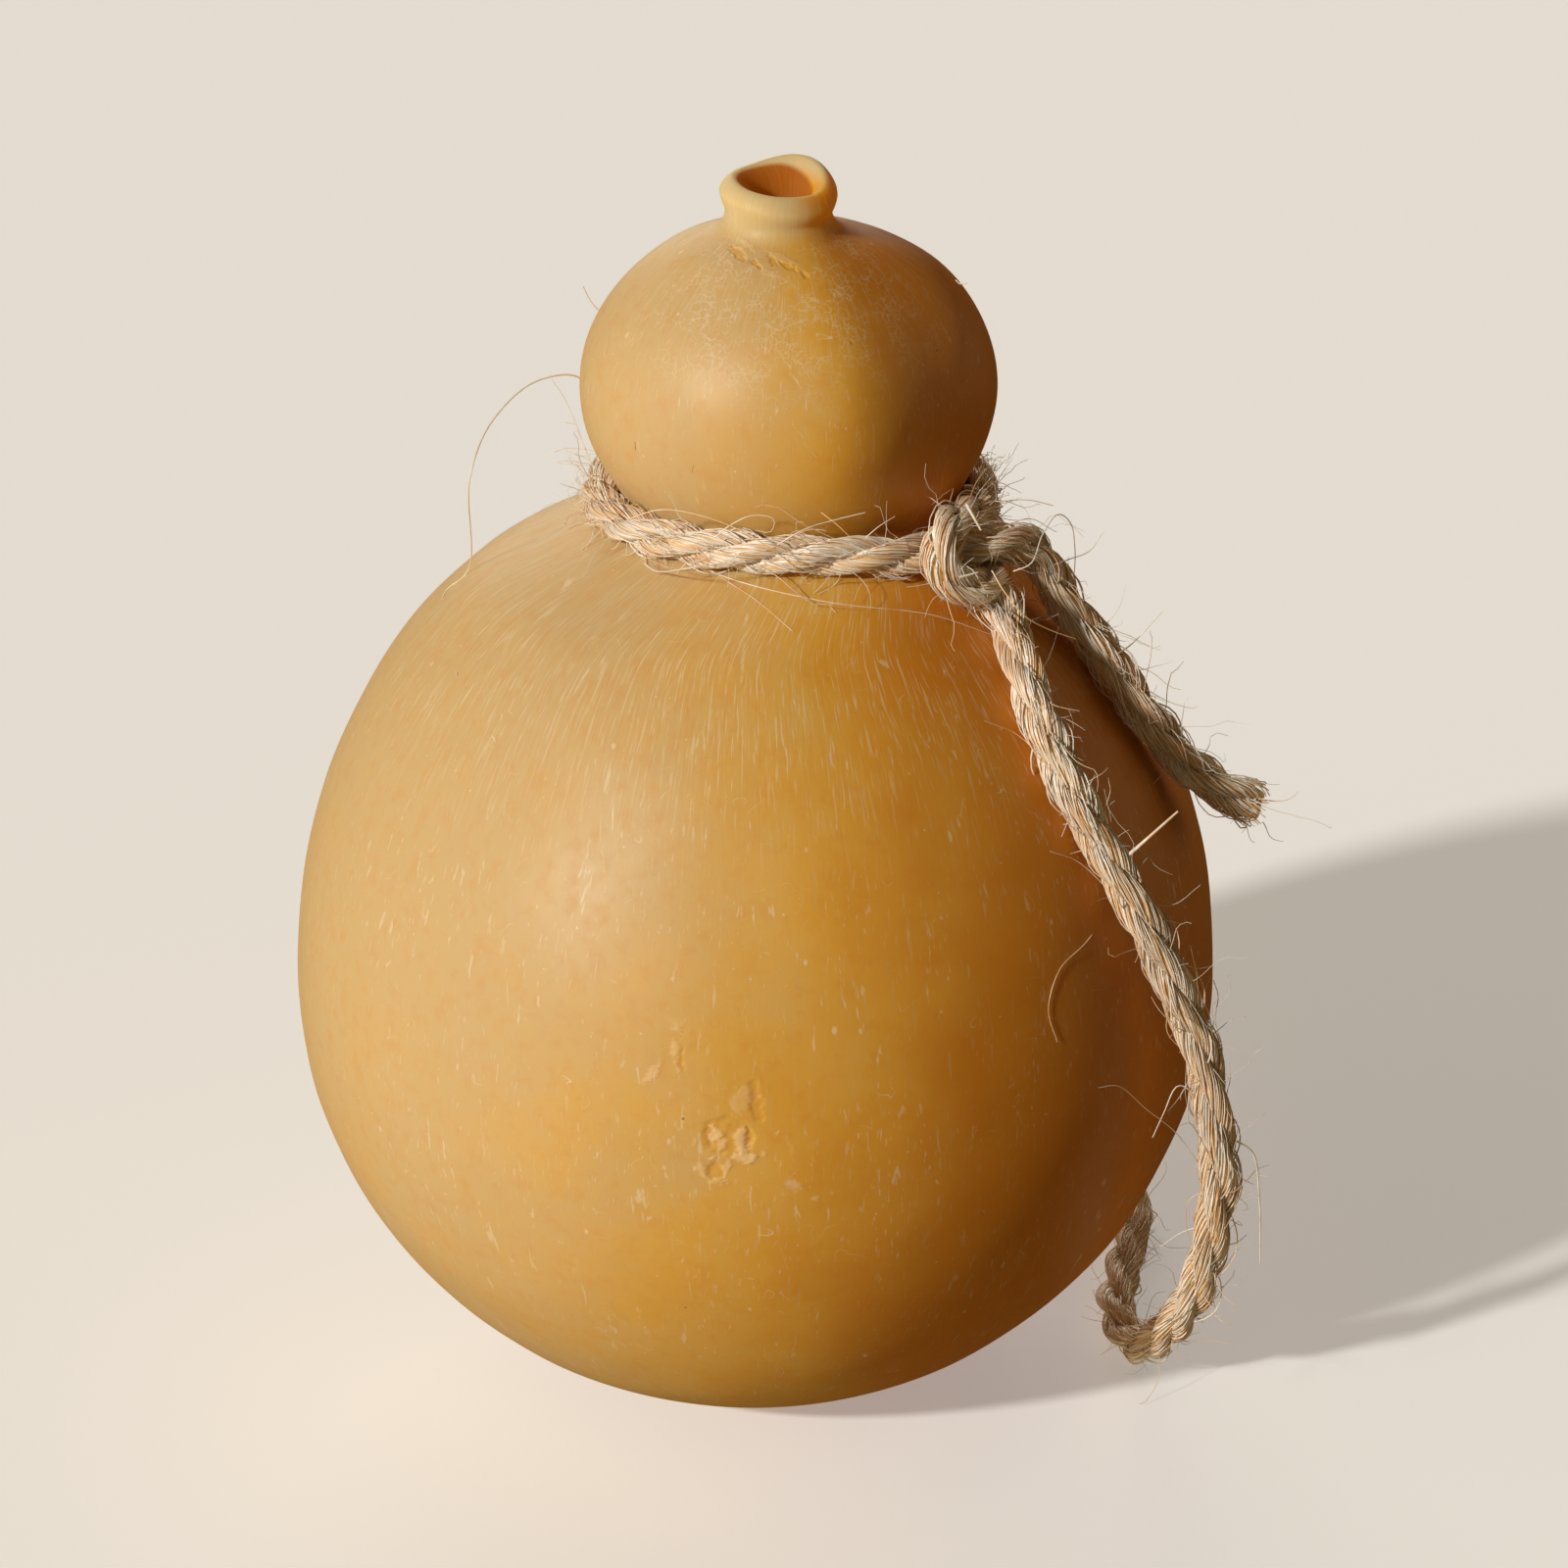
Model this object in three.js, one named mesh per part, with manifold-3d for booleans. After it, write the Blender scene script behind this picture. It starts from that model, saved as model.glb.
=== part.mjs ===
// A caciocavallo: a gourd-shaped stretched-curd cheese with a sisal rope knotted round its neck.
// Millimetres, +Z up. The origin is the middle of the flat spot it rests on, and its front faces -Y.
import * as THREE from "three";
import { mergeVertices } from "three/addons/utils/BufferGeometryUtils.js";
import Module from "manifold-3d";

// Body of the cheese: an egg of two half ellipsoids, flattened where it rests
const BODY_RADIUS = 74.7;
const BODY_DEPTH = 72.2;
const BODY_RISE = 84.4;
const REST_SPOT_RADIUS = 21;

// Head above the neck: a squashed ball that leans to the right of the body
const HEAD_RADIUS = 32.9;
const HEAD_DEPTH = 26.4;
const HEAD_RISE = 27.6;
const HEAD_LEVEL = 167.3;
const HEAD_SHIFT = 5.8;
const LEAN_START_LEVEL = 138;
const LEAN_END_LEVEL = 151;

// Rope, and the groove that it presses into the neck
const ROPE_DIAMETER = 6;
const ROPE_SIDES = 10;
const NECK_RADIUS = 27.2;
const GROOVE_DIAMETER = 6.8;
const COLLAR_RADIUS = 29.9;
const COLLAR_LEVEL = 150.1;
const CLEARANCE = 0.35;

// Button on top of the head: the twisted-off stub, with a rolled lip round an open pit
const SKIRT_RADIUS = 12.5;
const SKIRT_FILLET_RADIUS = 9.7;
const SKIRT_FILLET_HEIGHT = -0.7;
const BUTTON_WAIST_RADIUS = 8.2;
const BUTTON_WAIST_HEIGHT = 1.5;
const BUTTON_LIP_RADIUS = 9.0;
const BUTTON_LIP_HEIGHT = 4.5;
const BUTTON_CREST_RADIUS = 7.6;
const BUTTON_CREST_HEIGHT = 6.5;
const PIT_MOUTH_RADIUS = 6.0;
const PIT_MOUTH_HEIGHT = 5.2;
const PIT_WALL_RADIUS = 5.3;
const PIT_FLOOR_RADIUS = 4.0;
const PIT_FLOOR_HEIGHT = -2.0;
const BUTTON_SHIFT = new THREE.Vector2(-1.8, -3.0);
const BUTTON_SLOPE = new THREE.Vector2(-0.1, 0.06);
const FLAP_ANGLE = THREE.MathUtils.degToRad(50);
const FLAP_RISE = 2.4;

// Unevenness of the hand-shaped body: waves round it, with their height and their phase in radians
const LUMP_WAVES = [
  { count: 3, height: 0.6, phase: 0.6 },
  { count: 2, height: 0.3, phase: -0.3 },
];
const LUMP_TOP_LEVEL = 136;

// Torn patches of rind low on the front: centre on the surface, half width, half height and depth
const TORN_PATCHES = [
  { x: -3.6, z: 74.6, halfWidth: 4.8, halfHeight: 8.0, depth: 1.6 },
  { x: -11.2, z: 84.8, halfWidth: 2.6, halfHeight: 3.4, depth: 0.7 },
];

// Collar: angles go from the front of the neck towards the right, in degrees
const COLLAR_FIRST_ANGLE = 33;
const COLLAR_LAST_ANGLE = -278;
const GROOVE_FIRST_ANGLE = 60;
const GROOVE_LAST_ANGLE = -284;
const CLIMB_START_ANGLE = 4;
const CLIMB_END_ANGLE = 40;
const CLIMB_OUT = 2.6;
const CLIMB_DOWN = 1.2;

// Knot on the right of the neck, with its ropes drawn tight and thin
const PASSING_DIAMETER = 5.8;
const WRAP_DIAMETER = 5.6;
const ROOT_DIAMETER = 5.8;
const PASSING_ROUTE = [
  [24.0, -26.6, 149.0],
  [27.4, -25.0, 148.9],
  [32.8, -24.0, 149.2],
  [36.6, -22.6, 149.3],
  [39.6, -20.6, 149.0],
  [40.6, -19.8, 148.4],
];
const WRAP_ROUTE = [
  [35.3, -5.2, 150.2],
  [35.5, -10.0, 150.6],
  [32.9, -20.0, 152.6],
  [29.9, -27.5, 153.4],
  [29.1, -30.0, 150.8],
  [29.7, -30.5, 147.3],
  [32.2, -29.5, 144.6],
  [35.4, -26.8, 143.6],
  [37.0, -24.0, 143.8],
];
const ROOT_ROUTE = [
  [35.4, -19.0, 144.6],
  [36.3, -22.0, 142.9],
  [37.8, -24.9, 141.0],
  [38.7, -26.8, 139.4],
];

// Free tails: both leave the knot, lie on the shoulder and end in a cut
const SHORT_TAIL_ROUTE = [
  [41.0, -19.5, 148.1],
  [43.2, -17.8, 146.9],
  [45.4, -16.6, 143.5],
  [47.7, -15.9, 138.9],
  [50.9, -15.5, 134.2],
  [54.4, -16.5, 129.6],
  [58.3, -17.8, 124.1],
  [60.9, -18.2, 120.1],
  [64.5, -17.4, 115.1],
  [68.6, -16.2, 109.8],
  [73.9, -14.7, 105.5],
  [80.4, -13.2, 101.2],
];
const TABLE_GAP = 0.1;
const TABLE_LIFT = ROPE_DIAMETER / 2 + TABLE_GAP;
const LONG_TAIL_ROUTE = [
  [38.9, -27.3, 139.0],
  [41.1, -33.0, 134.1],
  [43.2, -37.9, 128.7],
  [45.9, -41.7, 122.7],
  [48.7, -43.8, 117.0],
  [52.1, -44.9, 110.8],
  [55.6, -46.0, 104.6],
  [59.0, -46.6, 98.6],
  [62.3, -46.4, 91.9],
  [65.6, -45.8, 84.2],
  [68.6, -44.6, 76.6],
  [70.7, -44.2, 69.7],
  [72.1, -43.7, 61.4],
  [73.2, -42.3, 53.4],
  [73.3, -40.1, 44.2],
  [72.5, -37.2, 35.2],
  [71.0, -33.2, 25.9],
  [68.7, -26.9, 17.5],
  [66.5, -20.0, 10.7],
  [64.4, -12.9, 5.6],
  [62.5, -5.8, TABLE_LIFT],
  [61.1, 0.0, TABLE_LIFT],
  [61.0, 7.0, TABLE_LIFT],
  [62.4, 17.2, TABLE_LIFT],
  [64.5, 29.1, TABLE_LIFT],
  [66.0, 39.7, TABLE_LIFT],
  [64.5, 50.5, TABLE_LIFT],
  [58.5, 61.5, TABLE_LIFT],
  [48.5, 70.5, TABLE_LIFT],
  [36.0, 76.5, TABLE_LIFT],
  [22.0, 80.0, TABLE_LIFT],
  [8.0, 80.8, TABLE_LIFT],
  [-6.0, 79.2, TABLE_LIFT],
];

// Fineness of the faceted solids
const CHEESE_SIDES = 60;
const LOWER_BODY_STEPS = 13;
const UPPER_BODY_STEPS = 15;
const HEAD_STEPS = 8;
const BUTTON_STEPS = 22;
const COLLAR_STEPS = 56;
const KNOT_STEPS_PER_DIAMETER = 2;
const TAIL_STEPS_PER_DIAMETER = 1;
const TORN_DETAIL = 2;
const MERGE_DISTANCE = 1e-4;

const wasm = await Module();
wasm.setup();

const { degToRad, smoothstep } = THREE.MathUtils;
const QUARTER_TURN = Math.PI / 2;
const bodyLevel = BODY_DEPTH * Math.sqrt(1 - (REST_SPOT_RADIUS / BODY_RADIUS) ** 2);
const crownLevel = HEAD_LEVEL + HEAD_RISE;

// A closed geometry becomes a solid that can be joined and cut
function toSolid(geometry) {
  const bare = new THREE.BufferGeometry();
  bare.setAttribute("position", geometry.getAttribute("position").clone());
  if (geometry.getIndex()) {
    bare.setIndex(geometry.getIndex());
  }
  const merged = mergeVertices(bare, MERGE_DISTANCE);
  const vertProperties = new Float32Array(merged.getAttribute("position").array);
  const triVerts = new Uint32Array(merged.getIndex().array);
  return new wasm.Manifold(new wasm.Mesh({ numProp: 3, vertProperties, triVerts }));
}

// A solid becomes a plain geometry again
function toGeometry(solid) {
  const { vertProperties, triVerts } = solid.getMesh();
  const geometry = new THREE.BufferGeometry();
  geometry.setAttribute("position", new THREE.BufferAttribute(new Float32Array(vertProperties), 3));
  geometry.setIndex(new THREE.BufferAttribute(new Uint32Array(triVerts), 1));
  geometry.computeVertexNormals();
  return geometry;
}

// A point of an ellipse in the plane of the profile, by its angle above the widest level
function ellipsePoint(radius, rise, level, angle) {
  return new THREE.Vector2(radius * Math.cos(angle), level + rise * Math.sin(angle));
}

// Points along an ellipse of the profile, without the first one
function ellipseArc(radius, rise, level, fromAngle, toAngle, steps) {
  const points = [];
  for (let step = 1; step <= steps; step += 1) {
    points.push(ellipsePoint(radius, rise, level, fromAngle + ((toAngle - fromAngle) * step) / steps));
  }
  return points;
}

// The cheese's half outline, from the middle of the rest spot up and over the button into its pit.
// A positive growth gives the same outline a little larger all round.
function cheeseProfile(growth) {
  const bodyRadius = BODY_RADIUS + growth;
  const headRadius = HEAD_RADIUS + growth;
  const headRise = HEAD_RISE + growth;
  const restAngle = -Math.acos(REST_SPOT_RADIUS / BODY_RADIUS);
  const shoulderAngle = Math.acos(NECK_RADIUS / BODY_RADIUS);
  const jawAngle = -Math.acos(NECK_RADIUS / HEAD_RADIUS);
  const skirtAngle = Math.acos(SKIRT_RADIUS / HEAD_RADIUS);
  const button = new THREE.SplineCurve([
    ellipsePoint(headRadius, headRise, HEAD_LEVEL, skirtAngle),
    new THREE.Vector2(SKIRT_FILLET_RADIUS, crownLevel + SKIRT_FILLET_HEIGHT),
    new THREE.Vector2(BUTTON_WAIST_RADIUS, crownLevel + BUTTON_WAIST_HEIGHT),
    new THREE.Vector2(BUTTON_LIP_RADIUS, crownLevel + BUTTON_LIP_HEIGHT),
    new THREE.Vector2(BUTTON_CREST_RADIUS, crownLevel + BUTTON_CREST_HEIGHT),
    new THREE.Vector2(PIT_MOUTH_RADIUS, crownLevel + PIT_MOUTH_HEIGHT),
    new THREE.Vector2(PIT_WALL_RADIUS, crownLevel + BUTTON_WAIST_HEIGHT),
    new THREE.Vector2(PIT_FLOOR_RADIUS, crownLevel + PIT_FLOOR_HEIGHT / 2),
    new THREE.Vector2(0, crownLevel + PIT_FLOOR_HEIGHT),
  ]);

  return [
    new THREE.Vector2(0, -growth),
    ellipsePoint(bodyRadius, BODY_DEPTH + growth, bodyLevel, restAngle),
    ...ellipseArc(bodyRadius, BODY_DEPTH + growth, bodyLevel, restAngle, 0, LOWER_BODY_STEPS),
    ...ellipseArc(bodyRadius, BODY_RISE + growth, bodyLevel, 0, shoulderAngle, UPPER_BODY_STEPS),
    ellipsePoint(headRadius, HEAD_DEPTH + growth, HEAD_LEVEL, jawAngle),
    ...ellipseArc(headRadius, HEAD_DEPTH + growth, HEAD_LEVEL, jawAngle, 0, HEAD_STEPS),
    ...ellipseArc(headRadius, headRise, HEAD_LEVEL, 0, skirtAngle, HEAD_STEPS),
    ...button.getPoints(BUTTON_STEPS).slice(1),
  ];
}

// Moves a point of the turned shape to where hand shaping and hanging put it:
// the body is a little lumpy, the neck and head lean right, and the button is off centre and torn.
function handShaped(point) {
  const radius = Math.hypot(point.x, point.y);
  const angle = Math.atan2(point.y, point.x);
  const onBody = Math.sin(Math.PI * THREE.MathUtils.clamp(point.z / LUMP_TOP_LEVEL, 0, 1)) ** 2;
  const lumps = LUMP_WAVES.map(({ count, height, phase }) => height * Math.sin(count * angle + phase));
  const swell = radius > 0 ? (onBody * lumps.reduce((sum, lump) => sum + lump)) / radius : 0;
  const lean = HEAD_SHIFT * smoothstep(point.z, LEAN_START_LEVEL, LEAN_END_LEVEL);

  const onCrown = point.z > HEAD_LEVEL ? 1 - smoothstep(radius, SKIRT_FILLET_RADIUS, 2 * SKIRT_RADIUS) : 0;
  const onLip = smoothstep(point.z, crownLevel, crownLevel + BUTTON_LIP_HEIGHT);
  const onRim = smoothstep(radius, PIT_WALL_RADIUS, BUTTON_CREST_RADIUS);
  const flap = FLAP_RISE * Math.max(0, Math.cos(angle - FLAP_ANGLE)) ** 2 * onRim;
  const slope = BUTTON_SLOPE.x * point.x + BUTTON_SLOPE.y * point.y;
  return new THREE.Vector3(
    point.x * (1 + swell) + lean + BUTTON_SHIFT.x * onCrown,
    point.y * (1 + swell) + BUTTON_SHIFT.y * onCrown,
    point.z + onLip * (slope + flap),
  );
}

// The whole cheese before its rind is torn
function cheeseForm(growth) {
  const geometry = new THREE.LatheGeometry(cheeseProfile(growth), CHEESE_SIDES);
  geometry.rotateX(QUARTER_TURN);
  const position = geometry.getAttribute("position");
  const point = new THREE.Vector3();
  for (let index = 0; index < position.count; index += 1) {
    point.fromBufferAttribute(position, index);
    position.setXYZ(index, ...handShaped(point));
  }
  const groove = collarRope(GROOVE_FIRST_ANGLE, GROOVE_LAST_ANGLE, GROOVE_DIAMETER - 2 * growth);
  return toSolid(geometry).subtract(groove);
}

// The hollow that a torn-off scrap of rind leaves on the front
function tornHollow({ x, z, halfWidth, halfHeight, depth }) {
  const ballDepth = 2 * depth;
  const mouthShare = Math.sqrt(1 - (depth / ballDepth) ** 2);
  const ball = new THREE.IcosahedronGeometry(1, TORN_DETAIL);
  const levelRadius = BODY_RADIUS * Math.sqrt(1 - ((z - bodyLevel) / BODY_RISE) ** 2);
  const surfaceY = -Math.sqrt(levelRadius ** 2 - x ** 2);
  const facing = Math.atan2(x, -surfaceY);
  ball.scale(halfWidth / mouthShare, ballDepth, halfHeight / mouthShare);
  ball.rotateZ(facing);
  ball.translate(x, surfaceY - (ballDepth - depth), z);
  return toSolid(ball);
}

// A point of the collar's middle line; towards the knot it climbs out of the groove and sinks a little
function collarPoint(degrees) {
  const climb = smoothstep(degrees, CLIMB_START_ANGLE, CLIMB_END_ANGLE);
  const radius = COLLAR_RADIUS + CLIMB_OUT * climb;
  const angle = degToRad(degrees);
  return new THREE.Vector3(
    HEAD_SHIFT + radius * Math.sin(angle),
    -radius * Math.cos(angle),
    COLLAR_LEVEL - CLIMB_DOWN * climb,
  );
}

// A length of rope along a route
function ropeAlong(points, diameter, steps) {
  const section = new THREE.Shape().absarc(0, 0, diameter / 2, 0, 2 * Math.PI);
  const path = new THREE.CatmullRomCurve3(points, false, "centripetal");
  return new THREE.ExtrudeGeometry(section, {
    steps: steps(path.getLength() / diameter),
    curveSegments: ROPE_SIDES / 2,
    bevelEnabled: false,
    extrudePath: path,
  });
}

// A length of rope in the groove, from one angle of the neck round to another
function collarRope(firstAngle, lastAngle, diameter) {
  const points = [];
  for (let step = 0; step <= COLLAR_STEPS; step += 1) {
    points.push(collarPoint(THREE.MathUtils.lerp(firstAngle, lastAngle, step / COLLAR_STEPS)));
  }
  return toSolid(ropeAlong(points, diameter, () => COLLAR_STEPS));
}

function toVectors(route) {
  return route.map(([x, y, z]) => new THREE.Vector3(x, y, z));
}

function makeCheese() {
  let solid = cheeseForm(0);
  for (const patch of TORN_PATCHES) {
    solid = solid.subtract(tornHollow(patch));
  }
  return toGeometry(solid);
}

function makeCollar() {
  return toGeometry(collarRope(COLLAR_FIRST_ANGLE, COLLAR_LAST_ANGLE, ROPE_DIAMETER));
}

// The knot: one rope passes through, the other wraps over it and comes out underneath
function makeKnot() {
  const steps = (diameters) => Math.ceil(diameters * KNOT_STEPS_PER_DIAMETER);
  const passing = toSolid(ropeAlong(toVectors(PASSING_ROUTE), PASSING_DIAMETER, steps));
  const wrap = toSolid(ropeAlong(toVectors(WRAP_ROUTE), WRAP_DIAMETER, steps));
  const root = toSolid(ropeAlong(toVectors(ROOT_ROUTE), ROOT_DIAMETER, steps));
  return toGeometry(passing.add(wrap).add(root).subtract(cheeseForm(CLEARANCE)));
}

function makeTail(route) {
  const steps = (diameters) => Math.ceil(diameters * TAIL_STEPS_PER_DIAMETER);
  return toGeometry(toSolid(ropeAlong(toVectors(route), ROPE_DIAMETER, steps)));
}

const rind = new THREE.MeshStandardMaterial({ color: 0xcf9a4a, roughness: 0.45, metalness: 0 });
const sisal = new THREE.MeshStandardMaterial({ color: 0xc9a06a, roughness: 0.85, metalness: 0 });

function named(name, geometry, material) {
  const mesh = new THREE.Mesh(geometry, material);
  mesh.name = name;
  return mesh;
}

const caciocavallo = new THREE.Group();
caciocavallo.add(
  named("cheese", makeCheese(), rind),
  named("rope_collar", makeCollar(), sisal),
  named("rope_knot", makeKnot(), sisal),
  named("rope_tail_short", makeTail(SHORT_TAIL_ROUTE), sisal),
  named("rope_tail_long", makeTail(LONG_TAIL_ROUTE), sisal),
);

export default caciocavallo;
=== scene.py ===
import math

import bmesh
import bpy
import numpy as np
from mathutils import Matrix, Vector, noise
from mathutils.bvhtree import BVHTree


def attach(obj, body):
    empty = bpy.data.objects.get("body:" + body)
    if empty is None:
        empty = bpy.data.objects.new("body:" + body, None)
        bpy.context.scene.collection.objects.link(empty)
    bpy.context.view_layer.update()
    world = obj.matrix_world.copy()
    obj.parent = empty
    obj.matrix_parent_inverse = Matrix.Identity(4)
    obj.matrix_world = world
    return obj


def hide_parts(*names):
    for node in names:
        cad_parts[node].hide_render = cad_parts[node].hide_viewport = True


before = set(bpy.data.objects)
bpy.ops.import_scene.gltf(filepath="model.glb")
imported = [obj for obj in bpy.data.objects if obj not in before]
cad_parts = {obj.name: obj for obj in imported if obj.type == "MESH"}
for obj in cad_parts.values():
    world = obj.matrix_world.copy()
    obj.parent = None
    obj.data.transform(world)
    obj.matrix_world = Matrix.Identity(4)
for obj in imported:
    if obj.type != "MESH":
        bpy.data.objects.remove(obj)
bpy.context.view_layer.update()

# Studio: a plain pale floor with a faint glow of its own, which gives no light back to the object, and
# a camera 0.9 m away and 22 degrees above the level.
MM = 0.001
AIM = Vector((4.84, 0.0, 100.2)) * MM
CAMERA_DISTANCE = 900 * MM
CAMERA_ELEVATION = math.radians(22)
SENSOR_WIDTH = 36.0
PICTURE_WIDTH = 252.8 * MM
FLOOR_HALF_WIDTH = 40.0
FLOOR_DROP = 0.2 * MM
FLOOR_COLOUR = (0.84, 0.83, 0.81, 1.0)
FLOOR_ROUGHNESS = 0.85
FLOOR_GLOW = 0.34


def new_material(name):
    """A new material and its shader."""
    material = bpy.data.materials.new(name)
    material.use_nodes = True
    return material, material.node_tree.nodes["Principled BSDF"]


def set_sockets(shader, values):
    for name, value in values.items():
        shader.inputs[name].default_value = value


def add_object(name, data):
    added = bpy.data.objects.new(name, data)
    bpy.context.collection.objects.link(added)
    return added


floor_mesh = bpy.data.meshes.new("floor")
floor_corners = [(sx * FLOOR_HALF_WIDTH, sy * FLOOR_HALF_WIDTH, -FLOOR_DROP)
                 for sx, sy in ((-1, -1), (1, -1), (1, 1), (-1, 1))]
floor_mesh.from_pydata(floor_corners, [], [(0, 1, 2, 3)])
floor_paint, floor_shader = new_material("pale_floor")
set_sockets(floor_shader, {
    "Base Color": FLOOR_COLOUR, "Roughness": FLOOR_ROUGHNESS, "Specular IOR Level": 0.0,
    "Emission Color": FLOOR_COLOUR, "Emission Strength": FLOOR_GLOW,
})
floor_paint.cycles.emission_sampling = "NONE"
floor_mesh.materials.append(floor_paint)
floor = add_object("floor", floor_mesh)
floor.visible_diffuse = False
floor.visible_glossy = False
floor.visible_shadow = False

camera_data = bpy.data.cameras.new("camera")
camera_data.sensor_width = SENSOR_WIDTH
camera_data.lens = SENSOR_WIDTH * CAMERA_DISTANCE / PICTURE_WIDTH
camera = add_object("camera", camera_data)
camera_back = Vector((0.0, -math.cos(CAMERA_ELEVATION), math.sin(CAMERA_ELEVATION)))
camera.location = AIM + camera_back * CAMERA_DISTANCE
camera.rotation_euler = camera_back.to_track_quat("Z", "Y").to_euler()
bpy.context.scene.camera = camera

# Cheese: one piece of stretched curd, pulled into a gourd by hand, tied off at the neck and hung to
# ripen. It has a waxy golden rind, a twisted-off button with an open pit, and a torn patch in front.
BODY_RADIUS = 74.7 * MM
BODY_DEPTH = 72.2 * MM
BODY_RISE = 84.4 * MM
REST_SPOT_RADIUS = 21 * MM
HEAD_RADIUS = 32.9 * MM
HEAD_DEPTH = 26.4 * MM
HEAD_RISE = 27.6 * MM
HEAD_LEVEL = 167.3 * MM
HEAD_SHIFT = 5.8 * MM
LEAN_START_LEVEL = 136 * MM
LEAN_END_LEVEL = 148 * MM
COLLAR_RADIUS = 29.9 * MM
COLLAR_LEVEL = 150.1 * MM
GROOVE_RADIUS = 3.25 * MM
GROOVE_END = -1.28 * math.pi
SKIRT_RADIUS = 12.5 * MM
BUTTON_SHIFT = (-1.8 * MM, -3.0 * MM)
BUTTON_SLOPE = (-0.1, 0.06)
BUTTON_LIP_HEIGHT = 4.5 * MM
BUTTON_OUTLINE = (
    (9.7 * MM, -0.7 * MM),
    (8.2 * MM, 1.5 * MM),
    (9.0 * MM, BUTTON_LIP_HEIGHT),
    (7.2 * MM, 6.5 * MM),
    (5.2 * MM, 5.0 * MM),
    (4.5 * MM, 1.5 * MM),
    (3.4 * MM, -1.0 * MM),
    (0.0, -2.0 * MM),
)
FLAP_ANGLE = math.radians(50)
FLAP_RISE = 2.4 * MM
LUMP_TOP_LEVEL = 136 * MM
LUMP_WAVES = ((3, 0.6 * MM, 0.6), (2, 0.3 * MM, -0.3))
COLUMNS = 200
ARC_STEPS = 200
CURVE_STEPS = 24
OUTLINE_STEP = 0.1 * MM
SOFT_STEPS = 8
SOFT_FROM = (142 * MM, 145 * MM)
SOFT_TO = (155 * MM, 158 * MM)
SOFT_REST = (1 * MM, 3 * MM)
BODY_ROW = 1.35 * MM
HEAD_ROW = 1.1 * MM
CROWN_ROW = 0.44 * MM
NECK_ROW = 0.6 * MM
NECK_ROW_LEVELS = (140 * MM, 160 * MM)
CROWN_ROW_LEVEL = 185 * MM
CROWN_ROW_RADIUS = 20 * MM

BODY_LEVEL = BODY_DEPTH * math.sqrt(1 - (REST_SPOT_RADIUS / BODY_RADIUS) ** 2)
CROWN_LEVEL = HEAD_LEVEL + HEAD_RISE


def smoothstep(value, low, high):
    share = np.clip((value - low) / (high - low), 0, 1)
    return share * share * (3 - 2 * share)


def evenly_spaced(line, spacing):
    """The same line as places that are spacing apart."""
    reach = np.concatenate([[0], np.cumsum(np.linalg.norm(np.diff(line, axis=0), axis=1))])
    places = np.linspace(0, reach[-1], max(2, round(reach[-1] / spacing) + 1))
    return np.stack([np.interp(places, reach, column) for column in line.T], axis=1)


def smooth_line(points, spacing):
    """A line that runs smoothly through points, a centripetal Catmull-Rom curve."""
    knots = np.array(points, float)
    ends = 2 * knots[[0, -1]] - knots[[1, -2]]
    knots = np.vstack([ends[:1], knots, ends[1:]])
    gap = np.sqrt(np.linalg.norm(np.diff(knots, axis=0), axis=1))[:, None]
    slope = np.diff(knots, axis=0) / gap
    share = np.linspace(0, 1, CURVE_STEPS, endpoint=False)[:, None]
    stretches = []
    for i in range(1, len(knots) - 2):
        leave = slope[i - 1] - (knots[i + 1] - knots[i - 1]) / (gap[i - 1] + gap[i]) + slope[i]
        arrive = slope[i] - (knots[i + 2] - knots[i]) / (gap[i] + gap[i + 1]) + slope[i + 1]
        stretches.append(
            (2 * share**3 - 3 * share**2 + 1) * knots[i]
            + (share**3 - 2 * share**2 + share) * gap[i] * leave
            + (3 * share**2 - 2 * share**3) * knots[i + 1]
            + (share**3 - share**2) * gap[i] * arrive
        )
    stretches.append(knots[-2:-1])
    return evenly_spaced(np.vstack(stretches), spacing)


def ellipse_arc(radius, rise, level, first, last):
    angle = np.linspace(first, last, ARC_STEPS)
    return np.stack([radius * np.cos(angle), level + rise * np.sin(angle)], axis=1)


def cheese_outline():
    """Half the outline, from the middle of the rest spot up and over the button into its pit."""
    rest = -math.acos(REST_SPOT_RADIUS / BODY_RADIUS)
    shoulder = math.asin((COLLAR_LEVEL - GROOVE_RADIUS - BODY_LEVEL) / BODY_RISE)
    jaw = math.asin((COLLAR_LEVEL + GROOVE_RADIUS - HEAD_LEVEL) / HEAD_DEPTH)
    skirt = math.acos(SKIRT_RADIUS / HEAD_RADIUS)
    head = ellipse_arc(HEAD_RADIUS, HEAD_RISE, HEAD_LEVEL, 0, skirt)
    button = [tuple(head[-1])]
    button += [(radius, CROWN_LEVEL + height) for radius, height in BUTTON_OUTLINE]
    outline = np.vstack([
        [(0.0, 0.0)],
        ellipse_arc(BODY_RADIUS, BODY_DEPTH, BODY_LEVEL, rest, 0),
        ellipse_arc(BODY_RADIUS, BODY_RISE, BODY_LEVEL, 0, shoulder),
        ellipse_arc(GROOVE_RADIUS, GROOVE_RADIUS, COLLAR_LEVEL, -math.pi / 2, GROOVE_END)
        + [COLLAR_RADIUS, 0],
        ellipse_arc(HEAD_RADIUS, HEAD_DEPTH, HEAD_LEVEL, jaw, 0),
        head,
        smooth_line(button, OUTLINE_STEP),
    ])
    _, first_seen = np.unique(outline.round(9), axis=0, return_index=True)
    return evenly_spaced(outline[np.sort(first_seen)], OUTLINE_STEP)


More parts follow.
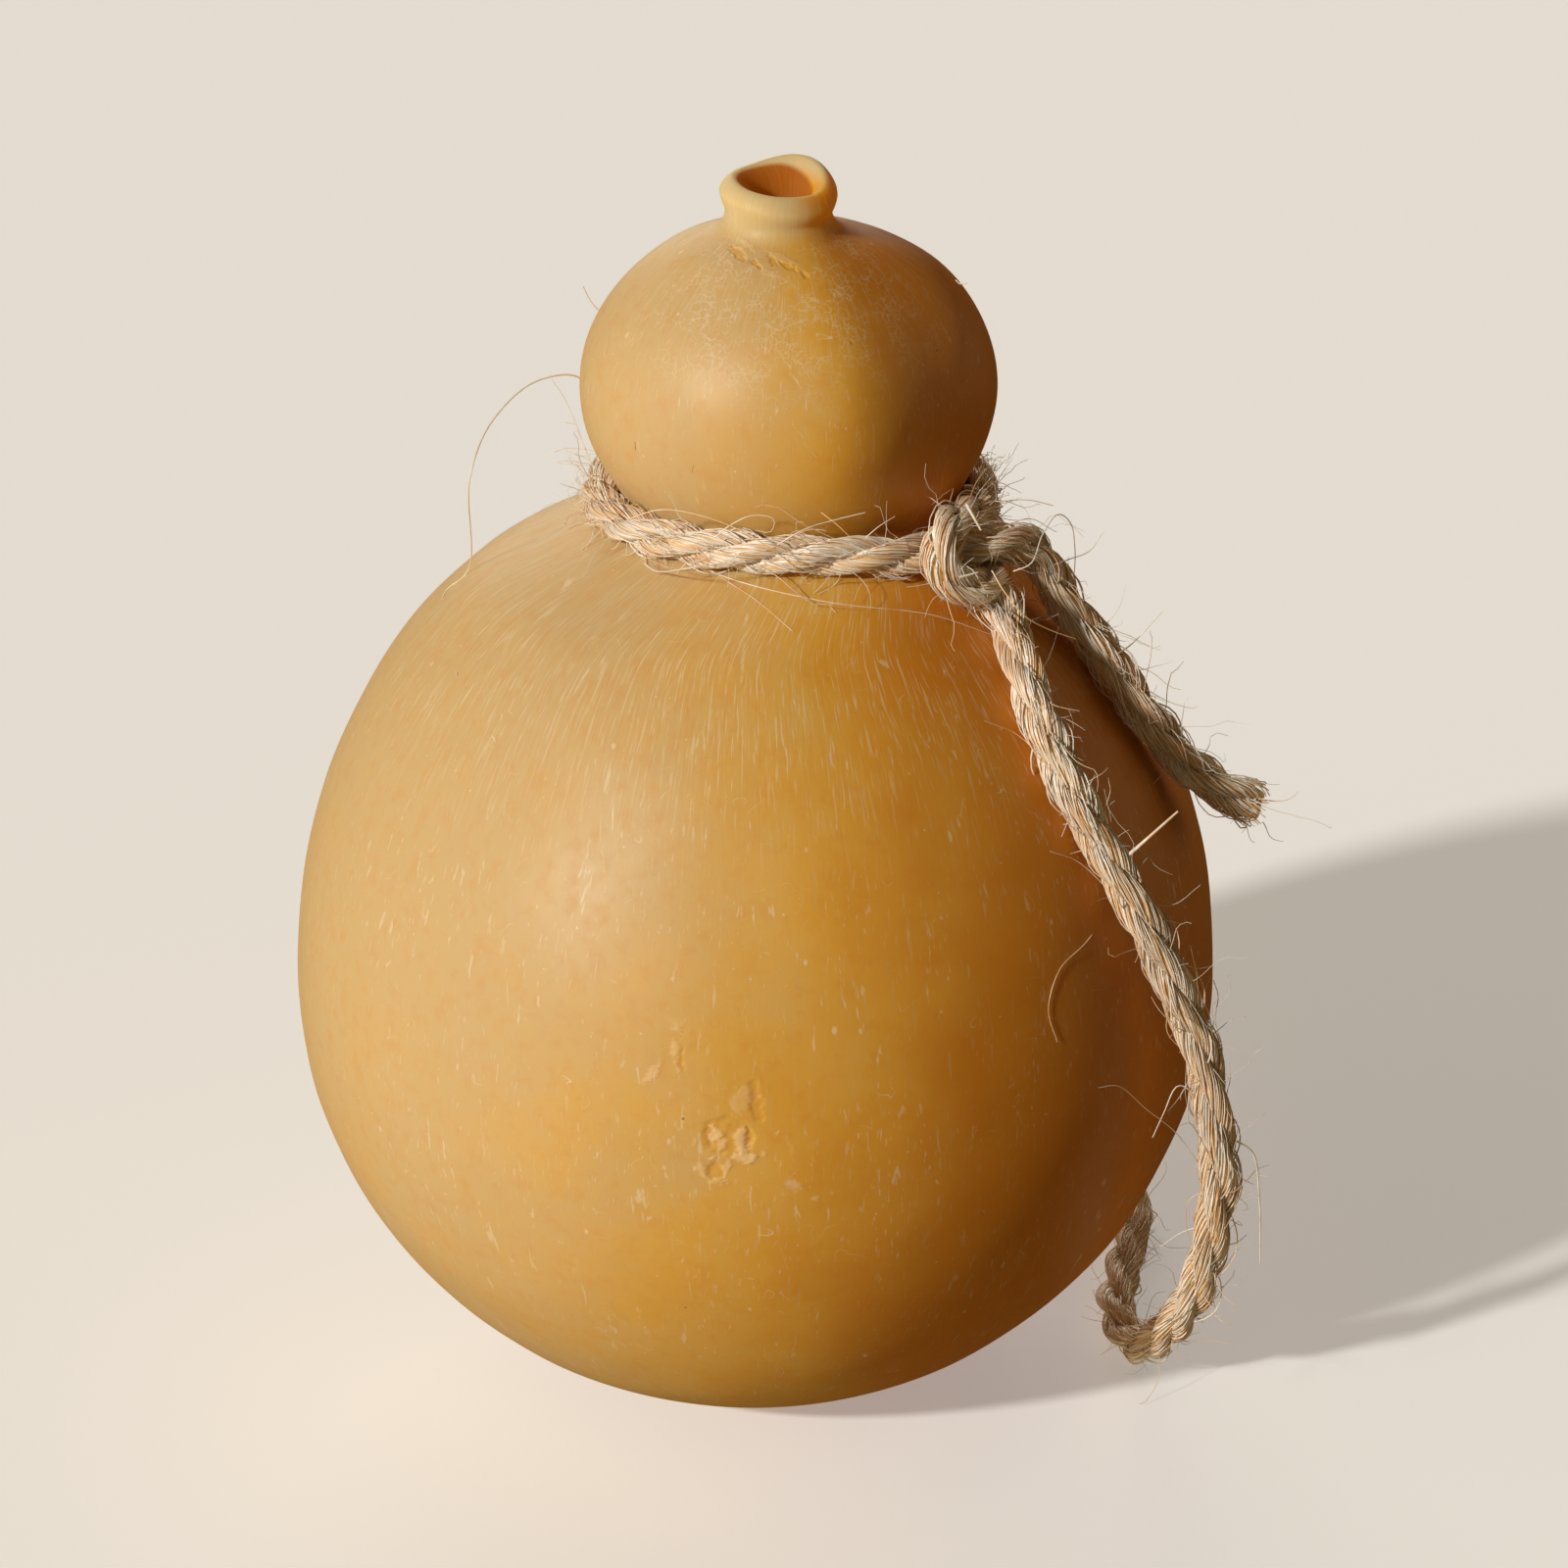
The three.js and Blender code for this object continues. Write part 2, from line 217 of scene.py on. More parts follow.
def rounded_neck(outline):
    """The outline with the edges of the rope's groove and of the rest spot worn round."""
    reach = 3 * SOFT_STEPS
    window = np.exp(-0.5 * (np.arange(-reach, reach + 1) / SOFT_STEPS) ** 2)
    window /= window.sum()
    padded = np.pad(outline, ((reach, reach), (0, 0)), mode="edge")
    soft = np.stack([np.convolve(column, window, "valid") for column in padded.T], axis=1)
    level = outline[:, 1]
    near_neck = smoothstep(level, *SOFT_FROM) * (1 - smoothstep(level, *SOFT_TO))
    near_floor = 1 - smoothstep(level, *SOFT_REST)
    share = np.maximum(near_neck, near_floor)[:, None]
    return outline * (1 - share) + soft * share


def spaced_rows(outline):
    """The outline at the levels of the mesh's rows, closest where the form is small."""
    radius, level = outline.T
    step = np.where(level > HEAD_LEVEL, HEAD_ROW, BODY_ROW)
    at_neck = (level > NECK_ROW_LEVELS[0]) & (level < NECK_ROW_LEVELS[1])
    at_crown = (level > CROWN_ROW_LEVEL) & (radius < CROWN_ROW_RADIUS)
    step = np.where(at_neck, NECK_ROW, step)
    step = np.where(at_crown, CROWN_ROW, step)
    rows = np.concatenate([[0], np.cumsum(OUTLINE_STEP / step[1:])])
    wanted = np.arange(1, math.floor(rows[-1]))
    return np.stack([np.interp(wanted, rows, column) for column in outline.T], axis=1)


def hand_shaped(points):
    """Moves places of the turned form to where hand shaping and hanging put them."""
    x, y, z = points.T
    radius = np.hypot(x, y)
    angle = np.arctan2(y, x)
    on_body = np.sin(np.pi * np.clip(z / LUMP_TOP_LEVEL, 0, 1)) ** 2
    lumps = sum(height * np.sin(count * angle + phase) for count, height, phase in LUMP_WAVES)
    swell = 1 + on_body * lumps / np.maximum(radius, MM)
    lean = HEAD_SHIFT * smoothstep(z, LEAN_START_LEVEL, LEAN_END_LEVEL)
    crown_edge = BUTTON_OUTLINE[0][0]
    on_crown = np.where(z > HEAD_LEVEL, 1 - smoothstep(radius, crown_edge, 2 * SKIRT_RADIUS), 0)
    on_lip = smoothstep(z, CROWN_LEVEL, CROWN_LEVEL + BUTTON_LIP_HEIGHT)
    on_rim = smoothstep(radius, BUTTON_OUTLINE[5][0], BUTTON_OUTLINE[3][0])
    flap = FLAP_RISE * np.maximum(0, np.cos(angle - FLAP_ANGLE)) ** 2 * on_rim
    slope = BUTTON_SLOPE[0] * x + BUTTON_SLOPE[1] * y
    return np.stack([
        x * swell + lean + BUTTON_SHIFT[0] * on_crown,
        y * swell + BUTTON_SHIFT[1] * on_crown,
        z + on_lip * (slope + flap),
    ], axis=1)


def turned_mesh(name, rows):
    """A closed mesh turned from rows of radius and level, with a pole at each end."""
    angle = np.arange(COLUMNS) * 2 * np.pi / COLUMNS
    ring = np.stack([np.sin(angle), -np.cos(angle)], axis=1)
    across = rows[:, :1, None] * ring[None]
    levels = np.tile(rows[:, 1:, None], (1, COLUMNS, 1))
    wall = np.concatenate([across, levels], axis=2).reshape(-1, 3)
    places = np.vstack([[(0.0, 0.0, 0.0)], wall, [(0.0, 0.0, rows[-1][1])]])
    first, last = 0, len(places) - 1
    after = np.roll(np.arange(COLUMNS), -1)
    faces = [(first, 1 + b, 1 + a) for a, b in enumerate(after)]
    for row in range(len(rows) - 1):
        low = 1 + row * COLUMNS
        faces += [(low + a, low + b, low + COLUMNS + b, low + COLUMNS + a) for a, b in enumerate(after)]
    top = 1 + (len(rows) - 1) * COLUMNS
    faces += [(top + a, top + b, last) for a, b in enumerate(after)]
    mesh = bpy.data.meshes.new(name)
    mesh.from_pydata(hand_shaped(places).tolist(), [], faces)
    return mesh


rind_mesh = turned_mesh("cheese_rind", spaced_rows(rounded_neck(cheese_outline())))

# Torn places in the rind: pits and lifted flakes of dry curd. Each has its middle, half its width and
# height, its turn in degrees, how far it stands out and how soft its edge is, in millimetres.
FRONT_TEARS = (
    (-3.4, 73.3, 3.9, 3.3, 0, -0.55, 0.4),
    (-6.6, 73.2, 1.0, 2.7, -6, -0.45, 0.4),
    (0.6, 79.0, 1.1, 3.5, 6, -0.60, 0.35),
    (-0.4, 72.8, 0.6, 2.2, -6, -0.80, 0.35),
    (-5.6, 67.6, 1.2, 1.5, 8, -0.70, 0.35),
    (-1.6, 72.5, 1.0, 2.4, -7, 0.80, 0.25),
    (-1.0, 69.7, 1.9, 0.9, 4, 0.70, 0.3),
    (-1.5, 79.3, 1.5, 2.5, -22, 0.30, 0.35),
    (-5.6, 73.4, 1.0, 1.5, -22, 0.70, 0.4),
    (-4.4, 72.0, 0.5, 1.0, -30, 0.60, 0.4),
    (-5.8, 69.9, 0.8, 0.35, 30, 0.75, 0.3),
    (-7.4, 67.6, 0.5, 1.9, 12, 0.45, 0.5),
    (-3.8, 67.6, 0.6, 2.0, -15, 0.50, 0.5),
    (-5.6, 65.6, 1.2, 0.4, 0, 0.40, 0.5),
    (1.8, 70.5, 0.5, 0.4, 30, 0.45, 0.5),
    (1.2, 79.6, 0.4, 0.45, 0, 0.45, 0.5),
    (-8.8, 72.0, 0.35, 0.7, 0, 0.35, 0.5),
    (-15.1, 82.8, 0.75, 2.6, -36, 0.35, 0.4),
    (-11.5, 86.8, 0.6, 1.3, -14, 0.40, 0.4),
    (-11.2, 84.2, 0.25, 1.5, 2, 0.35, 0.5),
    (-10.6, 85.4, 0.5, 2.4, 0, -0.30, 0.5),
    (-11.2, 90.0, 1.1, 0.4, 12, 0.30, 0.5),
    (9.9, 62.6, 0.6, 0.45, 20, 0.45, 0.5),
    (5.9, 71.2, 0.16, 3.3, 12, 0.20, 0.6),
    (6.1, 66.6, 0.16, 1.4, -30, 0.20, 0.6),
)
CROWN_TEARS = (
    (-2.3, -12.9, 0.75, 2.7, 33, -0.95, 0.45),
    (0.8, -16.1, 0.5, 1.35, 36, -0.8, 0.45),
    (3.1, -15.6, 0.45, 1.3, 40, -0.75, 0.45),
    (5.5, -16.8, 0.55, 1.7, 48, -0.85, 0.45),
    (7.8, -17.7, 0.35, 0.9, 45, -0.6, 0.45),
    (-0.7, -11.9, 0.5, 2.6, 42, 0.35, 0.8),
    (4.6, -15.0, 0.5, 3.6, 62, 0.3, 0.8),
    (2.2, -17.6, 0.4, 4.4, 60, 0.25, 0.8),
)
FRONT_PATCH = ((-17.5, 12.5), (60.0, 91.0))
CROWN_PATCH = ((-6.0, 10.5), (-20.5, -9.0))
FRONT_PATCH_CUTS = 7
CROWN_PATCH_CUTS = 2
CROWN_PATCH_LEVEL = 186.0
PATCH_MARGIN = 3.0
TEAR_WARP = 0.55
FRONT_WARP_SIZE = 1.6
CROWN_WARP_SIZE = 1.2
RAGGED_EDGE = 0.42
RAGGED_SIZE = 0.5
TEAR_CRISPNESS = 0.45
TEAR_HEIGHT = 0.24
PALE_TEAR_HEIGHT = 0.7
CRAG_HEIGHT = 0.10
CRAG_SIZE = 1.1
NOISE_SHIFT = (17.3, 5.1, 9.7)

# Hand shaping: shallow dents, the flattened right side of the head, each fold with its middle and width
# in degrees and its height, and the waist of the button, filled in front, in millimetres.
DENT_HEIGHT = 0.35
DENT_SIZE = 26.0
DENTS_FROM = (2, 14)
WAIST_LEVEL = 196.6
WAIST_REACH = 1.7
WAIST_FILL = 0.5
WAIST_FRONT = (0, 6)
PIT_WALL = 6.6
HEAD_FOLDS = ((17, 12, 0.5), (52, 25, -3.2))
FOLD_LEVELS = (152, 163)
FOLD_RADII = (4, 40)


def refine_patch(mesh, wanted, cuts):
    """Splits the faces whose middle is wanted into a finer grid."""
    work = bmesh.new()
    work.from_mesh(mesh)
    faces = [face for face in work.faces if wanted(face.calc_center_median() / MM)]
    edges = list({edge for face in faces for edge in face.edges})
    bmesh.ops.subdivide_edges(work, edges=edges, cuts=cuts, use_grid_fill=True)
    work.to_mesh(mesh)
    work.free()


def in_patch(across, up, patch, margin=0.0):
    (left, right), (low, high) = patch
    inside = (across > left - margin) & (across < right + margin)
    return inside & (up > low - margin) & (up < high + margin)


def noise_at(points, size, octaves, seed):
    """Fractal noise of about -1 to 1, with features of the given size, at places in millimetres."""
    shift = Vector([seed * step for step in NOISE_SHIFT])
    return np.array([noise.fractal(Vector(p) / size + shift, 1.0, 2.0, octaves) for p in points])


def tear_relief(across, up, tears):
    """How far the torn places stand out at each place, and how much each is flake and hollow."""
    relief = np.zeros_like(across)
    flake = np.zeros_like(across)
    hollow = np.zeros_like(across)
    for middle_across, middle_up, half_width, half_height, turn, height, softness in tears:
        cosine, sine = math.cos(math.radians(turn)), math.sin(math.radians(turn))
        right = (across - middle_across) * cosine + (up - middle_up) * sine
        high = (up - middle_up) * cosine - (across - middle_across) * sine
        edge = np.hypot(right / half_width, high / half_height)
        edge_width = softness * TEAR_CRISPNESS
        share = 1 - smoothstep(edge, 1 - edge_width, 1 + 0.3 * edge_width)
        if height > 0:
            relief += TEAR_HEIGHT * share * height * (0.75 + 0.25 * np.clip(right / half_width, -1, 1))
            flake = np.maximum(flake, share * min(1.0, height / PALE_TEAR_HEIGHT))
        else:
            relief += TEAR_HEIGHT * share * height
            hollow = np.maximum(hollow, share)
    return relief, flake, hollow


def vectors_of(collection, field):
    values = np.empty(len(collection) * 3)
    collection.foreach_get(field, values)
    return values.reshape(-1, 3)


def paint(mesh, name, values):
    """Gives each vertex its own value or vector."""
    kind, field = ("FLOAT", "value") if values.ndim == 1 else ("FLOAT_VECTOR", "vector")
    mesh.attributes.new(name, kind, "POINT").data.foreach_set(field, values.ravel())


def on_front(middle):
    return middle.y < 0 and in_patch(middle.x, middle.z, FRONT_PATCH)


def on_crown(middle):
    return middle.z > CROWN_PATCH_LEVEL and in_patch(middle.x, middle.y, CROWN_PATCH)


refine_patch(rind_mesh, on_front, FRONT_PATCH_CUTS)
refine_patch(rind_mesh, on_crown, CROWN_PATCH_CUTS)
rind_places = vectors_of(rind_mesh.vertices, "co") / MM
rind_facings = vectors_of(rind_mesh.vertex_normals, "vector")
x, y, z = rind_places.T

front = np.flatnonzero((y < 0) & in_patch(x, z, FRONT_PATCH, PATCH_MARGIN))
crown = np.flatnonzero((z > CROWN_PATCH_LEVEL) & in_patch(x, y, CROWN_PATCH, PATCH_MARGIN))
relief = DENT_HEIGHT * noise_at(rind_places, DENT_SIZE, 2, 1)
relief *= smoothstep(z, *DENTS_FROM)
head_across = x - HEAD_SHIFT / MM
head_turn = np.degrees(np.arctan2(head_across, -y))
on_head = smoothstep(z, *FOLD_LEVELS) * smoothstep(np.hypot(head_across, y), *FOLD_RADII)
for middle, spread, height in HEAD_FOLDS:
    relief += height * on_head * np.exp(-((head_turn - middle) / spread) ** 2)
button_across = head_across - BUTTON_SHIFT[0] / MM
button_depth = y - BUTTON_SHIFT[1] / MM
on_waist = np.exp(-((z - WAIST_LEVEL) / WAIST_REACH) ** 2)
on_waist *= np.hypot(button_across, button_depth) > PIT_WALL
relief += WAIST_FILL * on_waist * smoothstep(-button_depth, *WAIST_FRONT)
flake = np.zeros(len(z))
hollow = np.zeros(len(z))
for places, (along, up), tears, size in (
    (front, (x, z), FRONT_TEARS, FRONT_WARP_SIZE),
    (crown, (x, y), CROWN_TEARS, CROWN_WARP_SIZE),
):
    ragged = RAGGED_EDGE * noise_at(rind_places[places], RAGGED_SIZE, 3, 5)
    warp_across = TEAR_WARP * noise_at(rind_places[places], size, 3, 2) + ragged
    warp_up = TEAR_WARP * noise_at(rind_places[places], size, 3, 3) - ragged
    torn, flake[places], hollow[places] = tear_relief(
        along[places] + warp_across, up[places] + warp_up, tears
    )
    crags = noise_at(rind_places[places], CRAG_SIZE, 4, 4)
    share = np.maximum(flake[places], hollow[places])
    relief[places] += torn + CRAG_HEIGHT * share * crags
rind_places += rind_facings * relief[:, None]
rind_mesh.vertices.foreach_set("co", (rind_places * MM).ravel())
paint(rind_mesh, "flake", flake)
paint(rind_mesh, "hollow", hollow)
rind_mesh.polygons.foreach_set("use_smooth", np.ones(len(rind_mesh.polygons), bool))
rind_mesh.update()

# Marks on the rind where the photograph shows them, each from one pixel to another, with half its width
# in millimetres: dry scuffs and scratches, and dark threads that are stuck to it.
PICTURE_PIXELS = 1600
RIND_CLEARANCE = 0.2 * MM
MARK_RAGGED = 1.6
MARK_EDGE = (1.1, 0.6)
PALE_MARKS = (
    (599, 566, 575, 602, 0.9),
    (606, 652, 611, 662, 0.8),
    (898, 674, 905, 681, 0.5),
    (803, 1212, 808, 1212, 1.5),
    (612, 820, 618, 915, 0.14),
    (530, 1070, 590, 1180, 0.12),
    (764, 612, 756, 700, 0.30),
    (795, 358, 820, 400, 0.16),
    (797, 415, 834, 469, 0.18),
)
DARK_MARKS = (
    (648, 448, 649, 462, 0.22),
    (711, 465, 704, 490, 0.10),
    (867, 348, 869, 352, 0.25),
    (957, 356, 955, 359, 0.25),
    (909, 325, 911, 328, 0.25),
)
rind_tree = BVHTree.FromPolygons(
    [vertex.co for vertex in rind_mesh.vertices], [polygon.vertices for polygon in rind_mesh.polygons]
)
camera_up = camera_back.cross(Vector((1.0, 0.0, 0.0)))


def seen_place(across, down, depth):
    """The place that a pixel of the photograph shows, at a depth from front to back or on the rind."""
    pixel = PICTURE_WIDTH / CAMERA_DISTANCE / PICTURE_PIXELS
    sight = Vector(((across - PICTURE_PIXELS / 2) * pixel, 0.0, 0.0)) - camera_back
    sight += camera_up * ((PICTURE_PIXELS / 2 - down) * pixel)
    if depth is None:
        hit, facing, _, _ = rind_tree.ray_cast(camera.location, sight)
        if hit is None:
            beside = camera.location - sight * (camera.location.y / sight.y)
            hit, facing, _, _ = rind_tree.find_nearest(beside)
        return hit + facing * RIND_CLEARANCE
    return camera.location + sight * ((depth * MM - camera.location.y) / sight.y)


# Rind: waxy, translucent and golden, painted paler on the lit side as painted light and deeper on the
# shaded side as painted shade, with white flecks, fine scratches and the streaks that stretching drew
# from the neck down the shoulder and from the button down the head.
def operator(operation, swapped=False):
    """A method that adds a Math node, with its two values swapped for a reflected form."""
    def add_math(self, other):
        return self.math(operation, *((other, self) if swapped else (self, other)))
    return add_math


class Wire:
    """A socket of a node tree. Sums on it add Math nodes, and node() adds any other kind."""

    def __init__(self, tree, socket=None):
        self.tree = tree
        self.socket = socket

    @staticmethod
    def live(sockets, key):
        """The socket with that place, or the first one in use with that name."""
        if isinstance(key, int):
            return sockets[key]
        return next(s for s in sockets if s.enabled and key in (s.name, s.identifier))

    def node(self, kind, settings=None, sockets=None, output=0):
        """Adds a node, its settings first, and gives the wire of one of its outputs."""
        made = self.tree.nodes.new(kind)
        for name, value in (settings or {}).items():
            setattr(made, name, value)
        for key, value in (sockets or {}).items():
            target = self.live(made.inputs, key)
            if isinstance(value, Wire):
                self.tree.links.new(value.socket, target)
            else:
                target.default_value = value
        return Wire(self.tree, self.live(made.outputs, output) if made.outputs else None)

    def out(self, key):
        """Another output of the same node."""
        return Wire(self.tree, self.live(self.socket.node.outputs, key))

    def math(self, operation, *values):
        return self.node("ShaderNodeMath", {"operation": operation}, dict(enumerate(values)))

    __add__ = operator("ADD")
    __radd__ = operator("ADD", True)
    __sub__ = operator("SUBTRACT")
    __rsub__ = operator("SUBTRACT", True)
    __mul__ = operator("MULTIPLY")
    __rmul__ = operator("MULTIPLY", True)
    __truediv__ = operator("DIVIDE")
    __pow__ = operator("POWER")


def fade(value, low, high):
    """0 below low, 1 above high and smooth between; it falls instead where low is above high."""
    sockets = {"Value": value, "From Min": low, "From Max": high}
    return value.node("ShaderNodeMapRange", {"interpolation_type": "SMOOTHSTEP"}, sockets, "Result")


def blend(share, first, second):
    """One colour over another."""
    settings = {"data_type": "RGBA", "clamp_factor": True}
    return share.node("ShaderNodeMix", settings, {"Factor": share, "A": first, "B": second}, "Result")


def joined(x, y, z):
    return x.node("ShaderNodeCombineXYZ", None, {"X": x, "Y": y, "Z": z})


def separated(vector):
    return vector.node("ShaderNodeSeparateXYZ", None, {"Vector": vector})


def vector_math(operation, *values, output=0):
    """A Vector Math node on a wire and other values."""
    return values[0].node("ShaderNodeVectorMath", {"operation": operation}, dict(enumerate(values)), output)


def scaled(vector, factor):
    return vector.node("ShaderNodeVectorMath", {"operation": "SCALE"}, {"Vector": vector, "Scale": factor})


def clouds(vector, scale, detail=2.0, roughness=0.5, distortion=0.0):
    """Noise of 0 to 1."""
    sockets = {"Scale": scale, "Detail": detail, "Roughness": roughness, "Distortion": distortion}
    return vector.node("ShaderNodeTexNoise", None, {"Vector": vector} | sockets)


def pushes(vector, scale):
    """Noise as vectors of -0.5 to 0.5."""
    return vector_math("SUBTRACT", clouds(vector, scale, 1.0).out(1), (0.5, 0.5, 0.5))


def warped(vector, scale, distance):
    """The same places, each pushed a little by noise."""
    return vector_math("ADD", vector, scaled(pushes(vector, scale), distance))


def cells(vector, scale):
    """How far a place is from the middle of its cell, and a number drawn for that cell."""
    pattern = vector.node("ShaderNodeTexVoronoi", None, {"Vector": vector, "Scale": scale})
    draw = vector.node("ShaderNodeSeparateColor", None, {"Color": pattern.out("Color")})
    return pattern.out("Distance"), draw


def marked(place, marks, ragged):
    """1 on the marks and 0 off them, with a ragged edge."""
    nearest = None
    for first_across, first_down, last_across, last_down, half_width in marks:
        first = seen_place(first_across, first_down, None) / MM
        last = seen_place(last_across, last_down, None) / MM
        middle = (first + last) / 2
        half_length = (last - first).length / 2 + half_width
        heading = (last - first).normalized()
        local = vector_math("MULTIPLY_ADD", place, [1 / half_width] * 3, middle / -half_width)
        flattened = heading * math.sqrt(1 - (half_width / half_length) ** 2)
        away = vector_math("DOT_PRODUCT", local, local, output="Value")
        along = vector_math("DOT_PRODUCT", local, flattened, output="Value")
        reach = away - along * along
        nearest = reach if nearest is None else place.math("MINIMUM", nearest, reach)
    return fade(nearest + (ragged - 0.5) * MARK_RAGGED, *MARK_EDGE)


# Rind colours. The pale one is also painted on the lit side as painted light, and the deep one on the shaded
# side as painted shade.
RIND_GOLD = (0.77, 0.420, 0.056, 1.0)
RIND_PALE = (0.64, 0.445, 0.205, 1.0)
RIND_DEEP = (0.66, 0.225, 0.010, 1.0)
BUTTON_YELLOW = (0.70, 0.56, 0.29, 1.0)
# Button: amber painted on its shaded side and deeper amber in the pit as painted shade, and a painted glow
# of light through the curd on both.
BUTTON_SHADE_AMBER = (0.72, 0.34, 0.0, 1.0)
PIT_SHADE_AMBER = (0.36, 0.105, 0.001, 1.0)
PAINTED_GLOW = (0.085, 0.020, 0.0, 1.0)
PIT_MIDDLE = (-2.4, -2.8)
PIT_RADIUS = 5.7
CURD_GLOW = 0.9
CURD_GLOW_REACH = 5 * MM
CURD_GLOW_COLOURS = (1.0, 0.5, 0.12)
NO_LIGHT = (0.0, 0.0, 0.0, 1.0)
DRY_CURD = (0.88, 0.60, 0.31, 1.0)
TEAR_AMBER = (0.76, 0.40, 0.06, 1.0)
FLECK_WHITE = (0.86, 0.72, 0.50, 1.0)
SPECK_BROWN = (0.12, 0.05, 0.015, 1.0)
# Painted light and shade: the rind is painted paler towards this side, where the key light comes from, and
# deeper away from it.
PAINTED_LIGHT_SIDE = (-0.92, -0.38)
RIND_GLOW = 0.40
RIND_GLOW_REACH = 7 * MM
RIND_GLOW_COLOURS = (1.0, 0.42, 0.12)
CURD_IOR = 1.42
CURD_SHINE = 0.25
RIND_DULLNESS = 0.48
RELIEF_STRENGTH = 0.35
RELIEF_HEIGHT = 0.12 * MM
# The button is painted amber, as painted shade, towards this side, away from the key light.
BUTTON_SHADE_SIDE = (0.92, 0.38)
BUTTON_SHADE_FROM = (-0.2, 0.6)
BUTTON_SHADE_BELOW = (203, 200)
BUTTON_FROM = (193.5, 197.5)
BUTTON_TINT = 0.92
PIT_FROM = (190, 193)
PIT_EDGE = (PIT_RADIUS + 0.4, PIT_RADIUS - 0.1)
SHOULDER_FROM = (104, 136)
SHOULDER_BELOW = (153, 149)
HEAD_TOP_FROM = (176, 190)
HEAD_TOP_STRETCH = 0.8
CRACKLE_FROM = (168, 188)
CRACKLE_BELOW = (196, 193)
CRACKLE_FRONT = (-0.2, -0.9)
STRETCH_SLOPE = 0.7
LEAST_RADIUS = 0.001
# Blend of the pale and deep rind colours, which paint light on the lit side and shade on the shaded side; it
# is also paler higher up, at the back and in patches.
PALE_FROM = (0.15, 1.05)
DEEP_BELOW = (0.50, -0.40)
PALER_UP_LEVELS = (30, 115)
PALER_BACK_EDGES = (0.0, 0.8)
PATCH_SHARE = 0.7
PAINTED_LIGHT_OFFSET = 0.12
PALER_UP_SHARE = 0.2
PALER_BACK_SHARE = 0.85

# Streaks: how many repeats go round and down a millimetre, then the noise's detail, roughness and waver
HAIR_STREAKS = (95, 0.16, 2.0, 0.55, 0.4)
DASH_STREAKS = (60, 0.22, 2.0, 0.6, 0.5)
NECK_STREAKS = (140, 0.14, 1.0, 0.5, 0.25)
FINE_STREAKS = (190, 0.42, 1.0, 0.5, 0.6)

# Clouds: repeats in a millimetre, then the noise's detail, roughness and waver
PATCHES = (0.055, 3.0, 0.55)
MOTTLE = (0.35, 3.0, 0.6)
GRAIN = (2.6, 2.0, 0.6)
SCRATCH_LINES = (0.11, 1.0, 0.4, 1.6)
FINE_DASH_CLOUDS = 0.09
SCRATCH_CLOUDS = 0.16
CRACKLE_CLOUDS = 0.22

# Spots: cells in a millimetre, the draws that have one, the draws that enlarge it and by how much, its
# least size, how ragged it is and its edge
FLECKS = (0.24, (0.7, 0.74), (0.72, 1.0), 0.09, 0.0, 0.07, (0.03, -0.02))
DOTS = (0.42, (0.6, 0.64), (0.6, 1.0), 0.06, 0.03, 0.05, (0.02, -0.02))
FLECK_SQUEEZE = 0.6
SPECK_CELLS = 0.11
SPECK_DRAWS = (0.8, 0.82)
CRACKLE_CELLS = 0.75
CRACKLE_WARP = (0.9, 1.6)
SCUFF_WARP = (0.5, 0.9)

# Where each pattern begins and where it is full, in its own measure, and in the clouds that it lies in
EDGES = {
    "striae": (0.58, 0.70), "furrows": (0.48, 0.36), "hairs": (0.62, 0.74), "dashes": (0.645, 0.71),
    "fine_dashes": (0.64, 0.76), "scratches": (0.0032, 0.0012), "crackle": (0.08, 0.02),
    "specks": (0.035, 0.018), "mottle": (0.45, 0.75),
}
AREAS = {
    "dashes": (0.40, 0.56), "fine_dashes": (0.40, 0.62), "scratches": (0.58, 0.66),
    "crackle": (0.40, 0.60), "scuffs": (0.35, 0.7),
}

# How strongly each pattern shows
SHOWN = {
    "hairs": 0.30, "fine_dashes": 0.38, "dashes": 0.42, "furrows": 0.16, "striae": 0.36, "dots": 0.45,
    "scratches": 0.6, "crackle": 0.42, "scuffs": 0.5, "specks": 0.7, "threads": 0.6, "hollow": 0.6,
    "mottle": 0.2,
}


